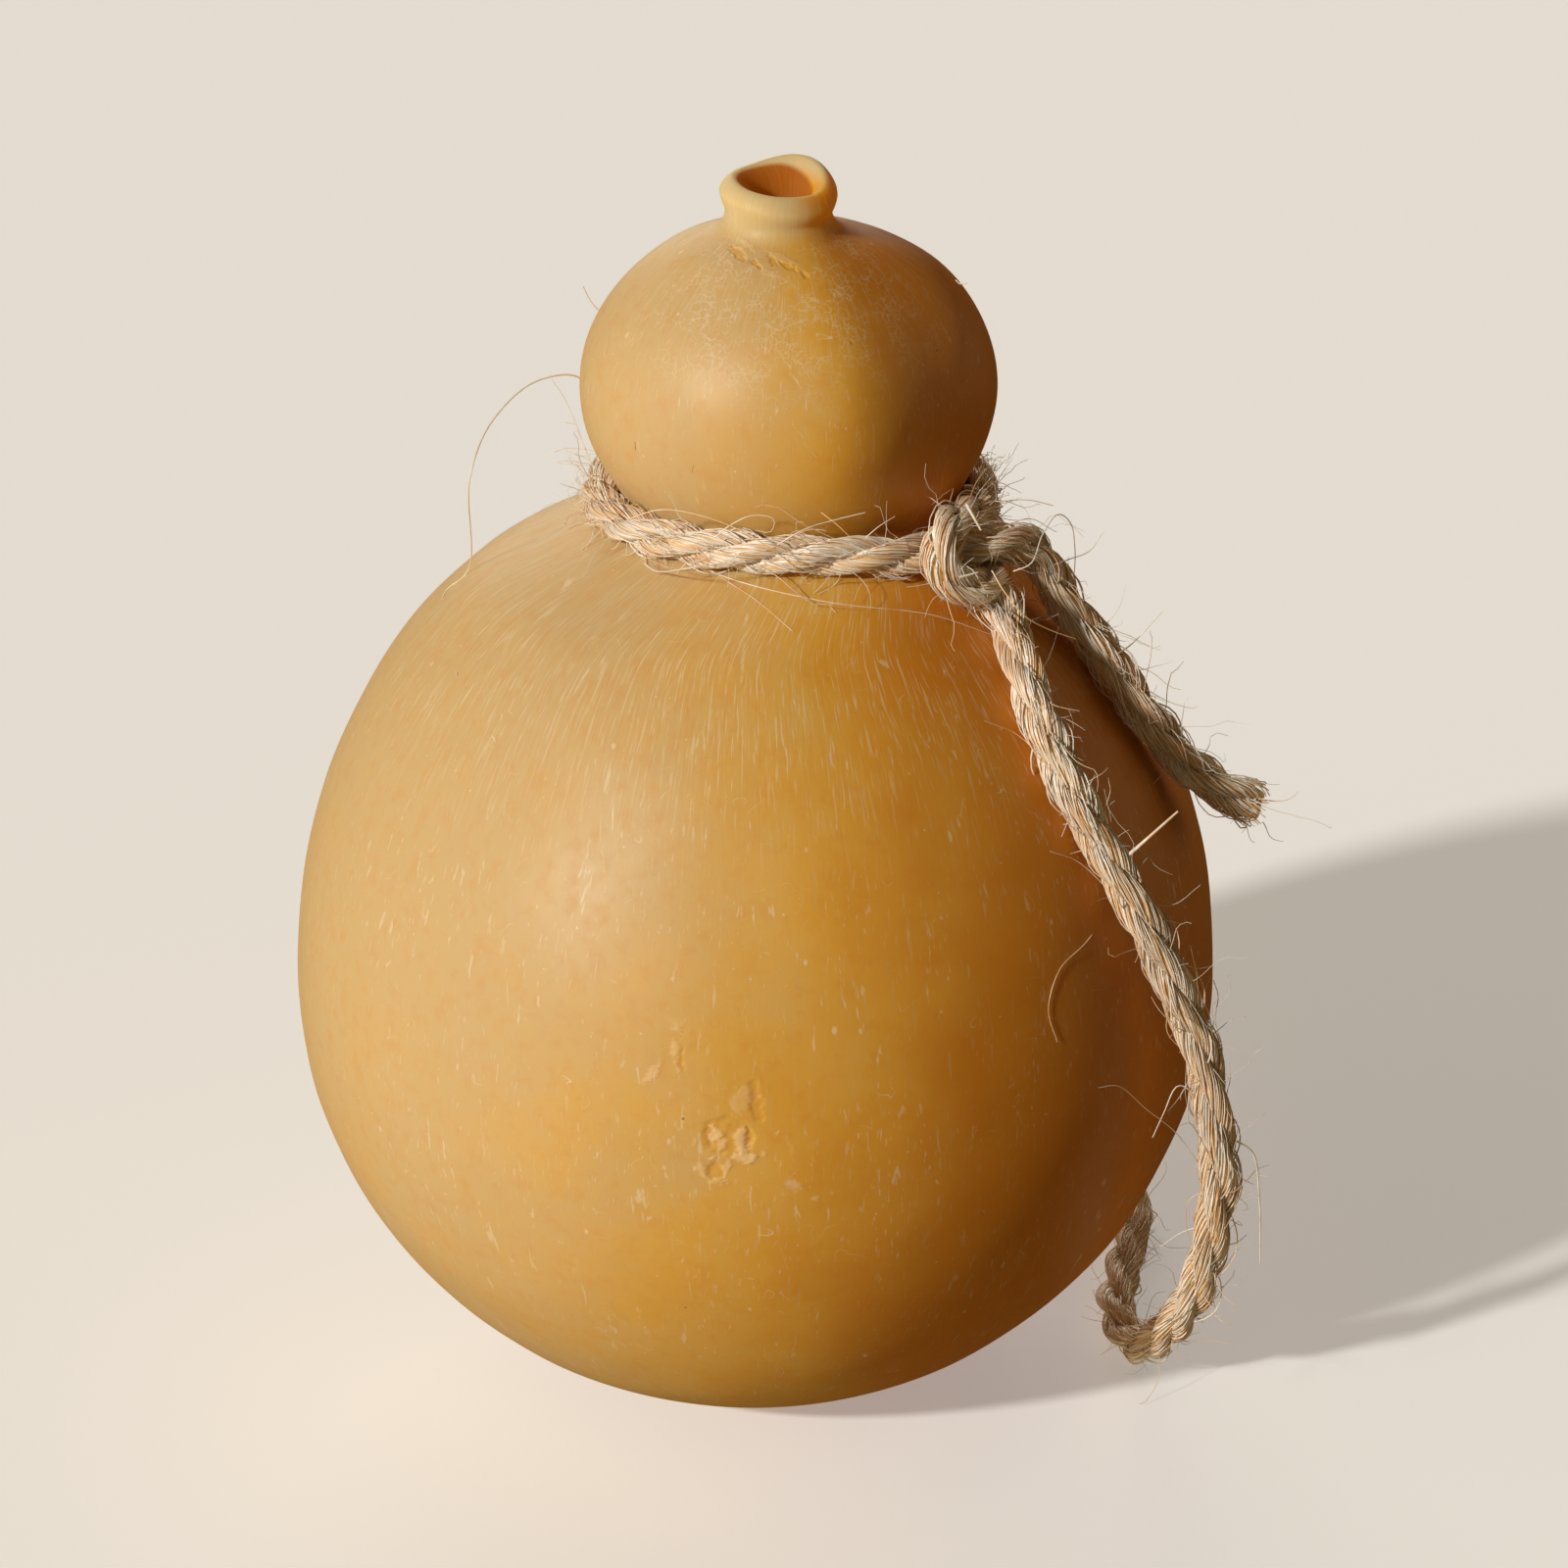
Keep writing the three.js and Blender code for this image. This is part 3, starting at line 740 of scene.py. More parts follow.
def rind_material():
    """Golden rind with its marks and its painted light and shade, and softer curd at the button, painted
    amber as shade on its shaded side and in its pit, with a painted glow there.
    """
    material, shader = new_material("rind")
    tree = material.node_tree
    start = Wire(tree)
    millimetres = scaled(start.node("ShaderNodeTexCoord", None, None, "Object"), 1 / MM)
    places = separated(millimetres)
    level = places.out("Z")
    across = places.out("X") - fade(level, LEAN_START_LEVEL / MM, LEAN_END_LEVEL / MM) * (HEAD_SHIFT / MM)
    depth = places.out("Y")
    radius = (across * across + depth * depth) ** 0.5 + LEAST_RADIUS
    round_x = across / radius
    round_y = depth / radius

    # Streaks follow the way the curd was stretched, so they narrow towards the neck and the poles
    def streaks(run, around, down, *noise):
        return clouds(joined(round_x * around, round_y * around, run * down), 1.0, *noise)

    neck_streaks = streaks(level - radius * STRETCH_SLOPE, *NECK_STREAKS)
    patches = clouds(millimetres, *PATCHES)
    mottle = clouds(millimetres, *MOTTLE)
    grain = clouds(millimetres, *GRAIN)
    shoulder = fade(level, *SHOULDER_FROM) * fade(level, *SHOULDER_BELOW)
    stretched = start.math("MAXIMUM", shoulder, fade(level, *HEAD_TOP_FROM) * HEAD_TOP_STRETCH)
    striae = fade(neck_streaks, *EDGES["striae"]) * stretched
    furrows = fade(neck_streaks, *EDGES["furrows"]) * stretched
    hairs = fade(streaks(level, *HAIR_STREAKS), *EDGES["hairs"])
    dashes = fade(streaks(level, *DASH_STREAKS), *EDGES["dashes"]) * fade(patches, *AREAS["dashes"])
    fine_dashes = fade(streaks(level, *FINE_STREAKS), *EDGES["fine_dashes"])
    fine_dashes = fine_dashes * fade(clouds(millimetres, FINE_DASH_CLOUDS), *AREAS["fine_dashes"])

    # Flecks, dots and dark specks sit in some of the cells of a loose pattern
    def spots(vector, scale, chosen, growing, growth, least, roughness, edge):
        distance, draw = cells(vector, scale)
        reach = distance - (fade(draw, *growing) * growth + least) + (grain - 0.5) * roughness
        return fade(reach, *edge) * fade(draw, *chosen)

    flecks = spots(joined(across, depth, level * FLECK_SQUEEZE), *FLECKS)
    dots = spots(millimetres, *DOTS)
    distance, draw = cells(millimetres, SPECK_CELLS)
    specks = fade(distance, *EDGES["specks"]) * fade(draw, *SPECK_DRAWS)

    # Scratches are the level lines of a noise, and the crackle is the edges of small cells
    scratch_line = start.math("ABSOLUTE", clouds(millimetres, *SCRATCH_LINES) - 0.5)
    scratches = fade(scratch_line, *EDGES["scratches"])
    scratches = scratches * fade(clouds(millimetres, SCRATCH_CLOUDS), *AREAS["scratches"])
    sockets = {"Vector": warped(millimetres, *CRACKLE_WARP), "Scale": CRACKLE_CELLS}
    crackle_edge = start.node("ShaderNodeTexVoronoi", {"feature": "DISTANCE_TO_EDGE"}, sockets)
    crackle_area = fade(level, *CRACKLE_FROM) * fade(level, *CRACKLE_BELOW) * fade(round_y, *CRACKLE_FRONT)
    crackle = fade(crackle_edge, *EDGES["crackle"]) * crackle_area
    crackle = crackle * fade(clouds(millimetres, CRACKLE_CLOUDS), *AREAS["crackle"])

    # Painted light and shade: pale on the lit side, deep on the shaded side, between at the back; paler
    # higher up
    painted_light_and_patches = round_x * PAINTED_LIGHT_SIDE[0] + round_y * PAINTED_LIGHT_SIDE[1] + (patches - 0.5) * PATCH_SHARE - PAINTED_LIGHT_OFFSET
    painted_light_and_patches = painted_light_and_patches + fade(level, *PALER_UP_LEVELS) * PALER_UP_SHARE + fade(round_y, *PALER_BACK_EDGES) * PALER_BACK_SHARE
    colour = blend(fade(painted_light_and_patches, *PALE_FROM), RIND_GOLD, RIND_PALE)
    colour = blend(fade(painted_light_and_patches, *DEEP_BELOW), colour, RIND_DEEP)
    colour = blend(fade(mottle, *EDGES["mottle"]) * SHOWN["mottle"], colour, RIND_DEEP)
    # Painted shade on the button: amber on its side away from the key light, and deep amber in its pit.
    pit_across = across - PIT_MIDDLE[0]
    pit_depth = depth - PIT_MIDDLE[1]
    pit_radius = (pit_across * pit_across + pit_depth * pit_depth) ** 0.5
    toward_button_shade = (pit_across * BUTTON_SHADE_SIDE[0] + pit_depth * BUTTON_SHADE_SIDE[1]) / (pit_radius + LEAST_RADIUS)
    button_shaded_side = fade(toward_button_shade, *BUTTON_SHADE_FROM) * fade(level, *BUTTON_SHADE_BELOW)
    button = fade(level, *BUTTON_FROM)
    pit = fade(pit_radius, *PIT_EDGE) * fade(level, *PIT_FROM)
    colour = blend(button * BUTTON_TINT, colour, blend(button_shaded_side, BUTTON_YELLOW, BUTTON_SHADE_AMBER))
    colour = blend(pit, colour, PIT_SHADE_AMBER)

    # What lies on the rind, from the faintest streaks up to the torn curd
    flake = start.node("ShaderNodeAttribute", {"attribute_name": "flake"}, None, "Fac")
    hollow = start.node("ShaderNodeAttribute", {"attribute_name": "hollow"}, None, "Fac")
    scuffs = marked(warped(millimetres, *SCUFF_WARP), PALE_MARKS, grain) * fade(mottle, *AREAS["scuffs"])
    threads = marked(millimetres, DARK_MARKS, grain)
    for share, tint in (
        (hairs * SHOWN["hairs"], RIND_PALE),
        (fine_dashes * SHOWN["fine_dashes"], FLECK_WHITE),
        (dashes * SHOWN["dashes"], FLECK_WHITE),
        (furrows * SHOWN["furrows"], RIND_DEEP),
        (striae * SHOWN["striae"], FLECK_WHITE),
        (flecks * (0.25 + grain * 0.5), FLECK_WHITE),
        (dots * SHOWN["dots"], FLECK_WHITE),
        (scratches * SHOWN["scratches"], FLECK_WHITE),
        (crackle * SHOWN["crackle"], FLECK_WHITE),
        (scuffs * SHOWN["scuffs"], FLECK_WHITE),
        (specks * SHOWN["specks"], SPECK_BROWN),
        (threads * SHOWN["threads"], SPECK_BROWN),
        (hollow * SHOWN["hollow"], TEAR_AMBER),
        (flake * (0.3 + mottle * 0.7), DRY_CURD),
    ):
        colour = blend(share, colour, tint)

    height = striae * 0.6 + (grain - 0.5) * 0.22
    sockets = {"Strength": RELIEF_STRENGTH, "Distance": RELIEF_HEIGHT, "Height": height}
    bump = start.node("ShaderNodeBump", None, sockets)
    dull = RIND_DULLNESS + (mottle - 0.5) * 0.18 + flecks * 0.15 + striae * 0.1 + flake * 0.25 + pit * 0.4
    tree.links.new(colour.socket, shader.inputs["Base Color"])
    tree.links.new(dull.socket, shader.inputs["Roughness"])
    tree.links.new(bump.socket, shader.inputs["Normal"])
    set_sockets(shader, {
        "Subsurface Weight": RIND_GLOW, "Subsurface Radius": RIND_GLOW_COLOURS,
        "Subsurface Scale": RIND_GLOW_REACH, "IOR": CURD_IOR,
    })
    # Painted glow, as of light through the curd, on the button's shaded side and in its pit.
    glow = blend(pit, blend(button_shaded_side, NO_LIGHT, PAINTED_GLOW), PAINTED_GLOW)
    curd = start.node("ShaderNodeBsdfPrincipled", None, {
        "Base Color": colour, "Roughness": dull, "Normal": bump, "IOR": CURD_IOR,
        "Subsurface Weight": CURD_GLOW, "Subsurface Radius": CURD_GLOW_COLOURS,
        "Subsurface Scale": CURD_GLOW_REACH, "Specular IOR Level": CURD_SHINE,
        "Emission Color": glow, "Emission Strength": 1.0,
    })
    rind = Wire(tree, shader.outputs[0])
    surface = start.node("ShaderNodeMixShader", None, {0: button, 1: rind, 2: curd})
    tree.links.new(surface.socket, tree.nodes["Material Output"].inputs["Surface"])
    material.cycles.emission_sampling = "NONE"
    return material


rind_mesh.materials.append(rind_material())
cheese = add_object("cheese_rind", rind_mesh)
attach(cheese, "root")
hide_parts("cheese")

# Rope: one length of 6 mm sisal in three strands, laid up to the left. It goes once round the neck and
# is tied in a half knot on the right, from which a short and a long tail hang.
ROPE_RADIUS = 3 * MM
LAID_RADIUS = 3.15 * MM
LAY_LENGTH = 30 * MM
STRANDS = 3
STRAND_OFFSET_SHARE = 0.48
TAIL_LAY_LENGTH = 40 * MM
YARNS_PER_STRAND = 46
YARN_RADIUS = 0.125 * MM
YARN_WANDER = 0.5 * MM
YARN_LOOSE = 1.3 * MM
ROPE_STEP = 1.4 * MM
COLLAR_FIRST_ANGLE = 33
COLLAR_LAST_ANGLE = -278
COLLAR_STEPS = 28
CLIMB_START_ANGLE = 4
CLIMB_END_ANGLE = 40
CLIMB_OUT = 2.6 * MM
CLIMB_DOWN = 1.2 * MM
TABLE_LIFT = 3.1
TABLE_GAP = 0.3 * MM
WRAP_ROUTE = MM * np.array((
    (37.0, -24.0, 143.8), (35.4, -26.8, 143.6), (32.2, -29.5, 144.6), (29.7, -30.5, 147.3),
    (29.1, -30.0, 150.8), (29.9, -27.5, 153.4), (32.9, -20.0, 152.6), (35.5, -10.0, 150.6),
))
PASSING_ROUTE = MM * np.array((
    (27.4, -25.0, 148.9), (32.8, -24.0, 149.2), (36.6, -22.6, 149.3), (39.6, -20.6, 149.0),
    (40.6, -19.8, 148.4),
))
SHORT_TAIL_ROUTE = MM * np.array((
    (43.2, -17.8, 146.9), (45.4, -16.6, 143.5), (47.7, -15.9, 138.9), (50.9, -15.5, 134.2),
    (54.4, -16.5, 129.6), (58.3, -17.8, 124.1), (60.9, -18.2, 120.1), (64.5, -17.4, 115.1),
    (68.6, -16.2, 109.8), (73.9, -14.7, 105.5), (80.4, -13.2, 101.2),
))
ROOT_ROUTE = MM * np.array((
    (35.4, -19.0, 144.6), (36.3, -22.0, 142.9), (37.8, -24.9, 141.0), (38.8, -27.0, 139.2),
))
LONG_TAIL_ROUTE = MM * np.array((
    (41.1, -33.0, 134.1), (43.2, -37.9, 128.7), (45.9, -41.7, 122.7), (48.7, -43.8, 117.0),
    (52.1, -44.9, 110.8), (55.6, -46.0, 104.6), (59.0, -46.6, 98.6), (62.3, -46.4, 91.9),
    (65.6, -45.8, 84.2), (68.6, -44.6, 76.6), (70.7, -44.2, 69.7), (72.1, -43.7, 61.4),
    (73.2, -42.3, 53.4), (73.3, -40.1, 44.2), (72.5, -37.2, 35.2), (71.0, -33.2, 25.9),
    (68.7, -26.9, 17.5), (66.5, -20.0, 10.7), (64.4, -12.9, 5.6), (62.5, -5.8, TABLE_LIFT),
    (61.1, 0.0, TABLE_LIFT), (61.0, 7.0, TABLE_LIFT), (62.4, 17.2, TABLE_LIFT),
    (64.5, 29.1, TABLE_LIFT), (66.0, 39.7, TABLE_LIFT), (64.5, 50.5, TABLE_LIFT),
    (58.5, 61.5, TABLE_LIFT), (48.5, 70.5, TABLE_LIFT), (36.0, 76.5, TABLE_LIFT),
    (22.0, 80.0, TABLE_LIFT), (8.0, 80.8, TABLE_LIFT), (-6.0, 79.2, TABLE_LIFT),
))
FRAY_LENGTH = 9 * MM
FRAY_SPREAD = 0.7
FRAY_OPEN = 0.3
LAY_CHANGE = 4 * LAY_LENGTH
NEAR_TABLE = (4 * MM, 14 * MM)
YARN_TWIST = 2.16
YARN_SWAY = 1.5
YARN_SINK = 0.6
YARN_SIDES = 3
DRIFT_RUN = 55
SLACK_RUN = 42
SLACK_EDGE = (0.60, 0.85)
CORE_SHARE = 0.82
CORE_SIDES = 8
# Tone of the strand cores, darker tan as painted shade between the yarns.
CORE_SHADE_TONE = 0.1
CORE_TRIM = 0.3
STRAW_PALE = (1.0, 0.95, 0.84, 1.0)
STRAW_TAN = (0.90, 0.55, 0.22, 1.0)
STRAW_ORANGE = (0.74, 0.35, 0.09, 1.0)
STRAW_STREAKS = (1.0, 3.0, 0.6)
STRAW_PATCHES = (90.0, 2.0, 0.5)
STRAW_GRAIN = (2600.0, 2.0, 0.6)
STREAK_RUN = 260
STREAK_CONTRAST = 0.9
PALE_STRAW_FROM = (-0.05, 0.5)
ORANGE_FROM = (0.62, 0.8)
ORANGE_SHARE = 0.6
STRAW_DULLNESS = 0.36


def collar_place(degrees):
    """A place on the middle line of the rope round the neck, from the front towards the right."""
    climb = smoothstep(np.array(degrees, float), CLIMB_START_ANGLE, CLIMB_END_ANGLE)
    radius = COLLAR_RADIUS + CLIMB_OUT * climb
    angle = math.radians(degrees)
    level = COLLAR_LEVEL - CLIMB_DOWN * climb
    return np.array((HEAD_SHIFT + radius * math.sin(angle), -radius * math.cos(angle), level))


def rope_line(*routes):
    """One rope through several routes: its places, the distance along it, and a side that never twists."""
    line = smooth_line(np.vstack(routes), ROPE_STEP)
    along = np.concatenate([[0], np.cumsum(np.linalg.norm(np.diff(line, axis=0), axis=1))])
    heading = np.gradient(line, axis=0)
    heading /= np.linalg.norm(heading, axis=1)[:, None]
    side = np.cross(heading[0], (0, 0, 1))
    sides = []
    for direction in heading:
        side = side - direction * side.dot(direction)
        side = side / np.linalg.norm(side)
        sides.append(side)
    return {"place": line, "along": along, "side": np.array(sides)}


def cut_at(rope, *cuts):
    """The stretches of a rope between its ends and the steps nearest to some places."""
    nearest = [int(np.argmin(np.linalg.norm(rope["place"] - place, axis=1))) for place in cuts]
    steps = [0, *nearest, len(rope["along"]) - 1]
    return [
        {name: values[first:last + 1] for name, values in rope.items()}
        for first, last in zip(steps, steps[1:])
    ]


def guide_object(name, stretches):
    """An object of open lines, with the values that its tree goes by at every point."""
    edges = []
    start = 0
    for stretch in stretches:
        end = start + len(stretch["place"])
        edges += [(step, step + 1) for step in range(start, end - 1)]
        start = end
    values = {key: np.concatenate([stretch[key] for stretch in stretches]) for key in stretches[0]}
    mesh = bpy.data.meshes.new(name)
    mesh.from_pydata(values.pop("place").tolist(), edges, [])
    for key, painted in values.items():
        paint(mesh, key, painted)
    return add_object(name, mesh)


def away_from_rest(places):
    """The way out from what a rope lies on: from the cheese's middle, and up from the table."""
    away = places * (1, 1, 0)
    away = away / np.linalg.norm(away, axis=1)[:, None]
    low = 1 - smoothstep(places[:, 2], *NEAR_TABLE)
    return away * (1 - low[:, None]) + np.outer(low, (0, 0, 1))


collar_angles = np.linspace(COLLAR_LAST_ANGLE, COLLAR_FIRST_ANGLE, COLLAR_STEPS)
collar_route = np.array([collar_place(degrees) for degrees in collar_angles])
neck_run = rope_line(WRAP_ROUTE, collar_route, PASSING_ROUTE, SHORT_TAIL_ROUTE)
long_run = rope_line(ROOT_ROUTE, LONG_TAIL_ROUTE)
for run, end_lay in ((neck_run, LAY_LENGTH), (long_run, TAIL_LAY_LENGTH)):
    lay_length = LAY_LENGTH + (end_lay - LAY_LENGTH) * smoothstep(run["along"], 0, LAY_CHANGE)
    run["lay"] = np.cumsum(np.gradient(run["along"]) * 2 * np.pi / lay_length)
    run["fray"] = smoothstep(run["along"], run["along"][-1] - FRAY_LENGTH, run["along"][-1])
    run["free"] = away_from_rest(run["place"])

knot_wrap, collar, knot_passing, short_end = cut_at(
    neck_run, collar_route[0], collar_route[-1], PASSING_ROUTE[-1]
)
knot_root, long_end = cut_at(long_run, ROOT_ROUTE[-1])


def new_tree(name, inputs):
    """An empty geometry tree with named inputs, and a wire to start from."""
    tree = bpy.data.node_groups.new(name, "GeometryNodeTree")
    for label, kind in inputs:
        tree.interface.new_socket(label, in_out="INPUT", socket_type="NodeSocket" + kind)
    tree.interface.new_socket("Geometry", in_out="OUTPUT", socket_type="NodeSocketGeometry")
    return Wire(tree).node("NodeGroupInput")


def end_tree(start, geometry, sisal):
    """Realizes what was made, smooths it, gives it its material and ends the tree."""
    real = start.node("GeometryNodeRealizeInstances", None, {"Geometry": geometry})
    smooth = start.node("GeometryNodeSetShadeSmooth", None, {"Geometry": real})
    dressed = start.node("GeometryNodeSetMaterial", None, {"Geometry": smooth, "Material": sisal})
    start.node("NodeGroupOutput", None, {"Geometry": dressed})
    return start.tree


def stored(start, name, kind="FLOAT"):
    return start.node("GeometryNodeInputNamedAttribute", {"data_type": kind}, {"Name": name}, "Attribute")


def random_draw(start, low, high, seed, number=None):
    """A number drawn for each element, or for each of the numbers given."""
    sockets = {"Min": low, "Max": high, "Seed": seed}
    if number is not None:
        sockets["ID"] = number
    return start.node("FunctionNodeRandomValue", {"data_type": "FLOAT"}, sockets, "Value")


def turned(side, across, angle):
    """The direction at an angle from one side, towards another."""
    cosine = angle.math("COSINE", angle)
    sine = angle.math("SINE", angle)
    return vector_math("ADD", scaled(side, cosine), scaled(across, sine))


def shifted(start, geometry, offset):
    return start.node("GeometryNodeSetPosition", None, {"Geometry": geometry, "Offset": offset})


def copied(start, lines, count):
    sockets = {"Geometry": lines, "Amount": count}
    return start.node("GeometryNodeDuplicateElements", {"domain": "SPLINE"}, sockets)


def cut_short(start, lines, length):
    """Cuts a length off the end of each line."""
    share = length / start.node("GeometryNodeSplineLength")
    return start.node("GeometryNodeTrimCurve", {"mode": "FACTOR"}, {"Curve": lines, "End": 1 - share})


def swept(start, lines, radius, sides):
    """Tubes along lines."""
    ring = start.node("GeometryNodeCurvePrimitiveCircle", None, {"Resolution": sides, "Radius": 1.0})
    sockets = {"Curve": lines, "Profile Curve": ring, "Scale": radius, "Fill Caps": True}
    return start.node("GeometryNodeCurveToMesh", None, sockets)


def named_values(start, geometry, name, value):
    sockets = {"Geometry": geometry, "Name": name, "Value": value}
    return start.node("GeometryNodeStoreNamedAttribute", {"data_type": "FLOAT", "domain": "POINT"}, sockets)


def above_table(start, lines):
    """Lifts points of lines that would sink into the table."""
    reached = separated(start.node("GeometryNodeInputPosition"))
    height = start.math("MAXIMUM", reached.out("Z"), TABLE_GAP)
    lifted = joined(reached.out("X"), reached.out("Y"), height)
    return start.node("GeometryNodeSetPosition", None, {"Geometry": lines, "Position": lifted})


def laid_rope_tree():
    """Lays yarns into strands and strands into a rope along each line of the guide."""
    start = new_tree("laid_rope", (
        ("Geometry", "Geometry"), ("Rope Radius", "Float"),
        ("Yarns per Strand", "Int"), ("Yarn Radius", "Float"), ("Wander", "Float"), ("Loose", "Float"),
        ("Ragged Length", "Float"), ("Sisal", "Material"),
    ))
    rope_radius = start.out("Rope Radius")
    yarn_radius = start.out("Yarn Radius")
    yarns = start.out("Yarns per Strand")
    lines = start.node("GeometryNodeMeshToCurve", None, {"Mesh": start})
    along = stored(start, "along")
    fray = stored(start, "fray")
    side = stored(start, "side", "FLOAT_VECTOR")
    heading = start.node("GeometryNodeInputTangent")
    across = vector_math("CROSS_PRODUCT", heading, side)
    strand_offset = rope_radius * STRAND_OFFSET_SHARE
    strand_radius = rope_radius - strand_offset
    lay = stored(start, "lay")
    ragged = start.out("Ragged Length")

    def strand_directions(strand):
        turn = strand * (2 * math.pi / STRANDS) - lay
        onward = turn + math.pi / 2
        return turned(side, across, turn), turned(side, across, onward)

    copies = copied(start, lines, yarns * STRANDS)
    number = copies.out("Duplicate Index")
    strand = start.math("FLOOR", (number + 0.01) / yarns)
    yarn = number - strand * yarns
    outward, onward = strand_directions(strand)
    drifts = separated(clouds(joined(along * DRIFT_RUN, number * 3.7, number * 0.91), 1.0).out(1))
    roll = yarn * (2 * math.pi) / yarns + lay * YARN_TWIST + (drifts.out("X") - 0.5) * YARN_SWAY
    ring = strand_radius - yarn_radius * YARN_SINK + (drifts.out("Y") - 0.5) * start.out("Wander")
    slack = clouds(joined(along * SLACK_RUN, number * 5.3, number * 1.7), 1.0, 0.0)
    ring = ring + fade(slack, *SLACK_EDGE) * start.out("Loose")
    ring = ring * (1 + fray * random_draw(start, 0.0, 1.0, 3) * FRAY_SPREAD)
    reach = ring * start.math("COSINE", roll) + strand_offset * (1 + fray * FRAY_OPEN)
    sideways = ring * start.math("SINE", roll)
    yarn_place = vector_math("ADD", scaled(outward, reach), scaled(onward, sideways))
    draw = random_draw(start, 0.0, 1.0, 5, number)
    laid = above_table(start, shifted(start, copies, yarn_place))
    cut = cut_short(start, named_values(start, laid, "tone", draw), draw * ragged)
    thickness = yarn_radius * (0.7 + 0.6 * draw) * (0.7 + 0.6 * drifts.out("Z"))
    yarn_tubes = swept(start, cut, thickness, YARN_SIDES)

    # Cores fill each strand under its yarns; their darker tan tone is painted shade in the gaps between the
    # yarns.
    cores = copied(start, lines, STRANDS)
    core_outward, _ = strand_directions(cores.out("Duplicate Index") * 1.0)
    core_laid = shifted(start, cores, scaled(core_outward, strand_offset))
    core_cut = cut_short(start, named_values(start, core_laid, "tone", CORE_SHADE_TONE), ragged * CORE_TRIM)
    core_tubes = swept(start, core_cut, strand_radius * CORE_SHARE, CORE_SIDES)
    both = start.node("GeometryNodeJoinGeometry", None, {"Geometry": yarn_tubes})
    start.tree.links.new(core_tubes.socket, both.socket.node.inputs[0])
    return end_tree(start, both, start.out("Sisal"))


def sisal_material():
    """Silky plant fibre, from cream to tan with a few orange threads."""
    material, shader = new_material("sisal")
    tree = material.node_tree
    start = Wire(tree)
    tone = start.node("ShaderNodeAttribute", {"attribute_name": "tone"}, None, "Fac")
    along = start.node("ShaderNodeAttribute", {"attribute_name": "along"}, None, "Fac")
    place = start.node("ShaderNodeTexCoord", None, None, "Object")
    streak = clouds(joined(along * STREAK_RUN, tone * 90, tone * 31), *STRAW_STREAKS)
    patch = clouds(place, *STRAW_PATCHES)
    fine = clouds(place, *STRAW_GRAIN)
    pale = fade(tone + (streak - 0.5) * STREAK_CONTRAST, *PALE_STRAW_FROM)
    orange = fade(tone * 0.35 + streak * 0.5 + patch * 0.35, *ORANGE_FROM)
    colour = blend(orange * ORANGE_SHARE, blend(pale, STRAW_TAN, STRAW_PALE), STRAW_ORANGE)
    height = streak * 0.6 + fine * 0.4
    bump = start.node("ShaderNodeBump", None, {"Strength": 0.5, "Distance": 0.08 * MM, "Height": height})
    dull = STRAW_DULLNESS + (streak - 0.5) * 0.3
    tree.links.new(colour.socket, shader.inputs["Base Color"])
    tree.links.new(dull.socket, shader.inputs["Roughness"])
    tree.links.new(bump.socket, shader.inputs["Normal"])
    set_sockets(shader, {
        "IOR": 1.6, "Specular IOR Level": 0.8, "Coat Weight": 0.3, "Coat Roughness": 0.3,
    })
    return material


def grown(guide, tree, values):
    """Runs a tree on a guide and keeps what it makes as the guide's own plain mesh."""
    modifier = guide.modifiers.new(tree.name, "NODES")
    modifier.node_group = tree
    for socket in tree.interface.items_tree:
        if socket.in_out == "INPUT" and socket.name in values:
            modifier[socket.identifier] = values[socket.name]
    depsgraph = bpy.context.evaluated_depsgraph_get()
    mesh = bpy.data.meshes.new_from_object(
        guide.evaluated_get(depsgraph), preserve_all_data_layers=True, depsgraph=depsgraph
    )
    guide.modifiers.clear()
    guide.data = mesh
    return guide


def rope_piece(name, stretches, tree, values, node=None):
    """Grows one piece along stretches of the rope and puts it in the frame."""
    piece = grown(guide_object(name, stretches), tree, values)
    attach(piece, "root")
    if node:
        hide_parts(node)
    return piece


laid_rope = laid_rope_tree()
sisal = sisal_material()
rope_values = {
    "Rope Radius": LAID_RADIUS, "Yarns per Strand": YARNS_PER_STRAND,
    "Yarn Radius": YARN_RADIUS, "Wander": YARN_WANDER, "Loose": YARN_LOOSE, "Ragged Length": 0.0,
    "Sisal": sisal,
}

# Neck rope: the turn of sisal rope that ties off the neck. It lies in the groove that its own pull made
# in the soft curd, and both of its ends run into the knot.
rope_piece("neck_rope", [collar], laid_rope, rope_values, "rope_collar")

# Knot: a half knot on the right of the neck. The front end of the neck rope passes through it, and the
# back end wraps over that, which holds the turn tight.
rope_piece("knot", [knot_wrap, knot_passing, knot_root], laid_rope, rope_values, "rope_knot")

# Tails: the rope's two free ends, the short one in the air and the long one hung down the side to the
# table. Both are cut off, so their yarns end ragged and a little frayed.
RAGGED_LENGTH = 3.2 * MM


def rope_tail(name, stretch, node):
    tail = rope_piece(name, [stretch], laid_rope, rope_values | {"Ragged Length": RAGGED_LENGTH}, node)


rope_tail("short_tail", short_end, "rope_tail_short")
rope_tail("long_tail", long_end, "rope_tail_long")

# Hairs: the ends of single sisal fibres that stand out all along the rope, because its yarns are spun
# from short lengths. They are dry, curled and uneven, and come out from between the strands.
HAIR_RADIUS = 0.07 * MM
HAIR_SHORTEST = 1.5 * MM
HAIR_LONGEST = 14 * MM
HAIR_CURL = 6.5 * MM
HAIR_POINTS = 9
HAIR_FREE = 0.8
HAIR_LEAN = 3.2
HAIR_RARITY = 2.5
HAIR_ROOT = 0.78
HAIR_BENDS = 130.0
HAIR_STIFFNESS = 1.5
HAIR_TAPER = 0.55
HAIR_SIDES = 3


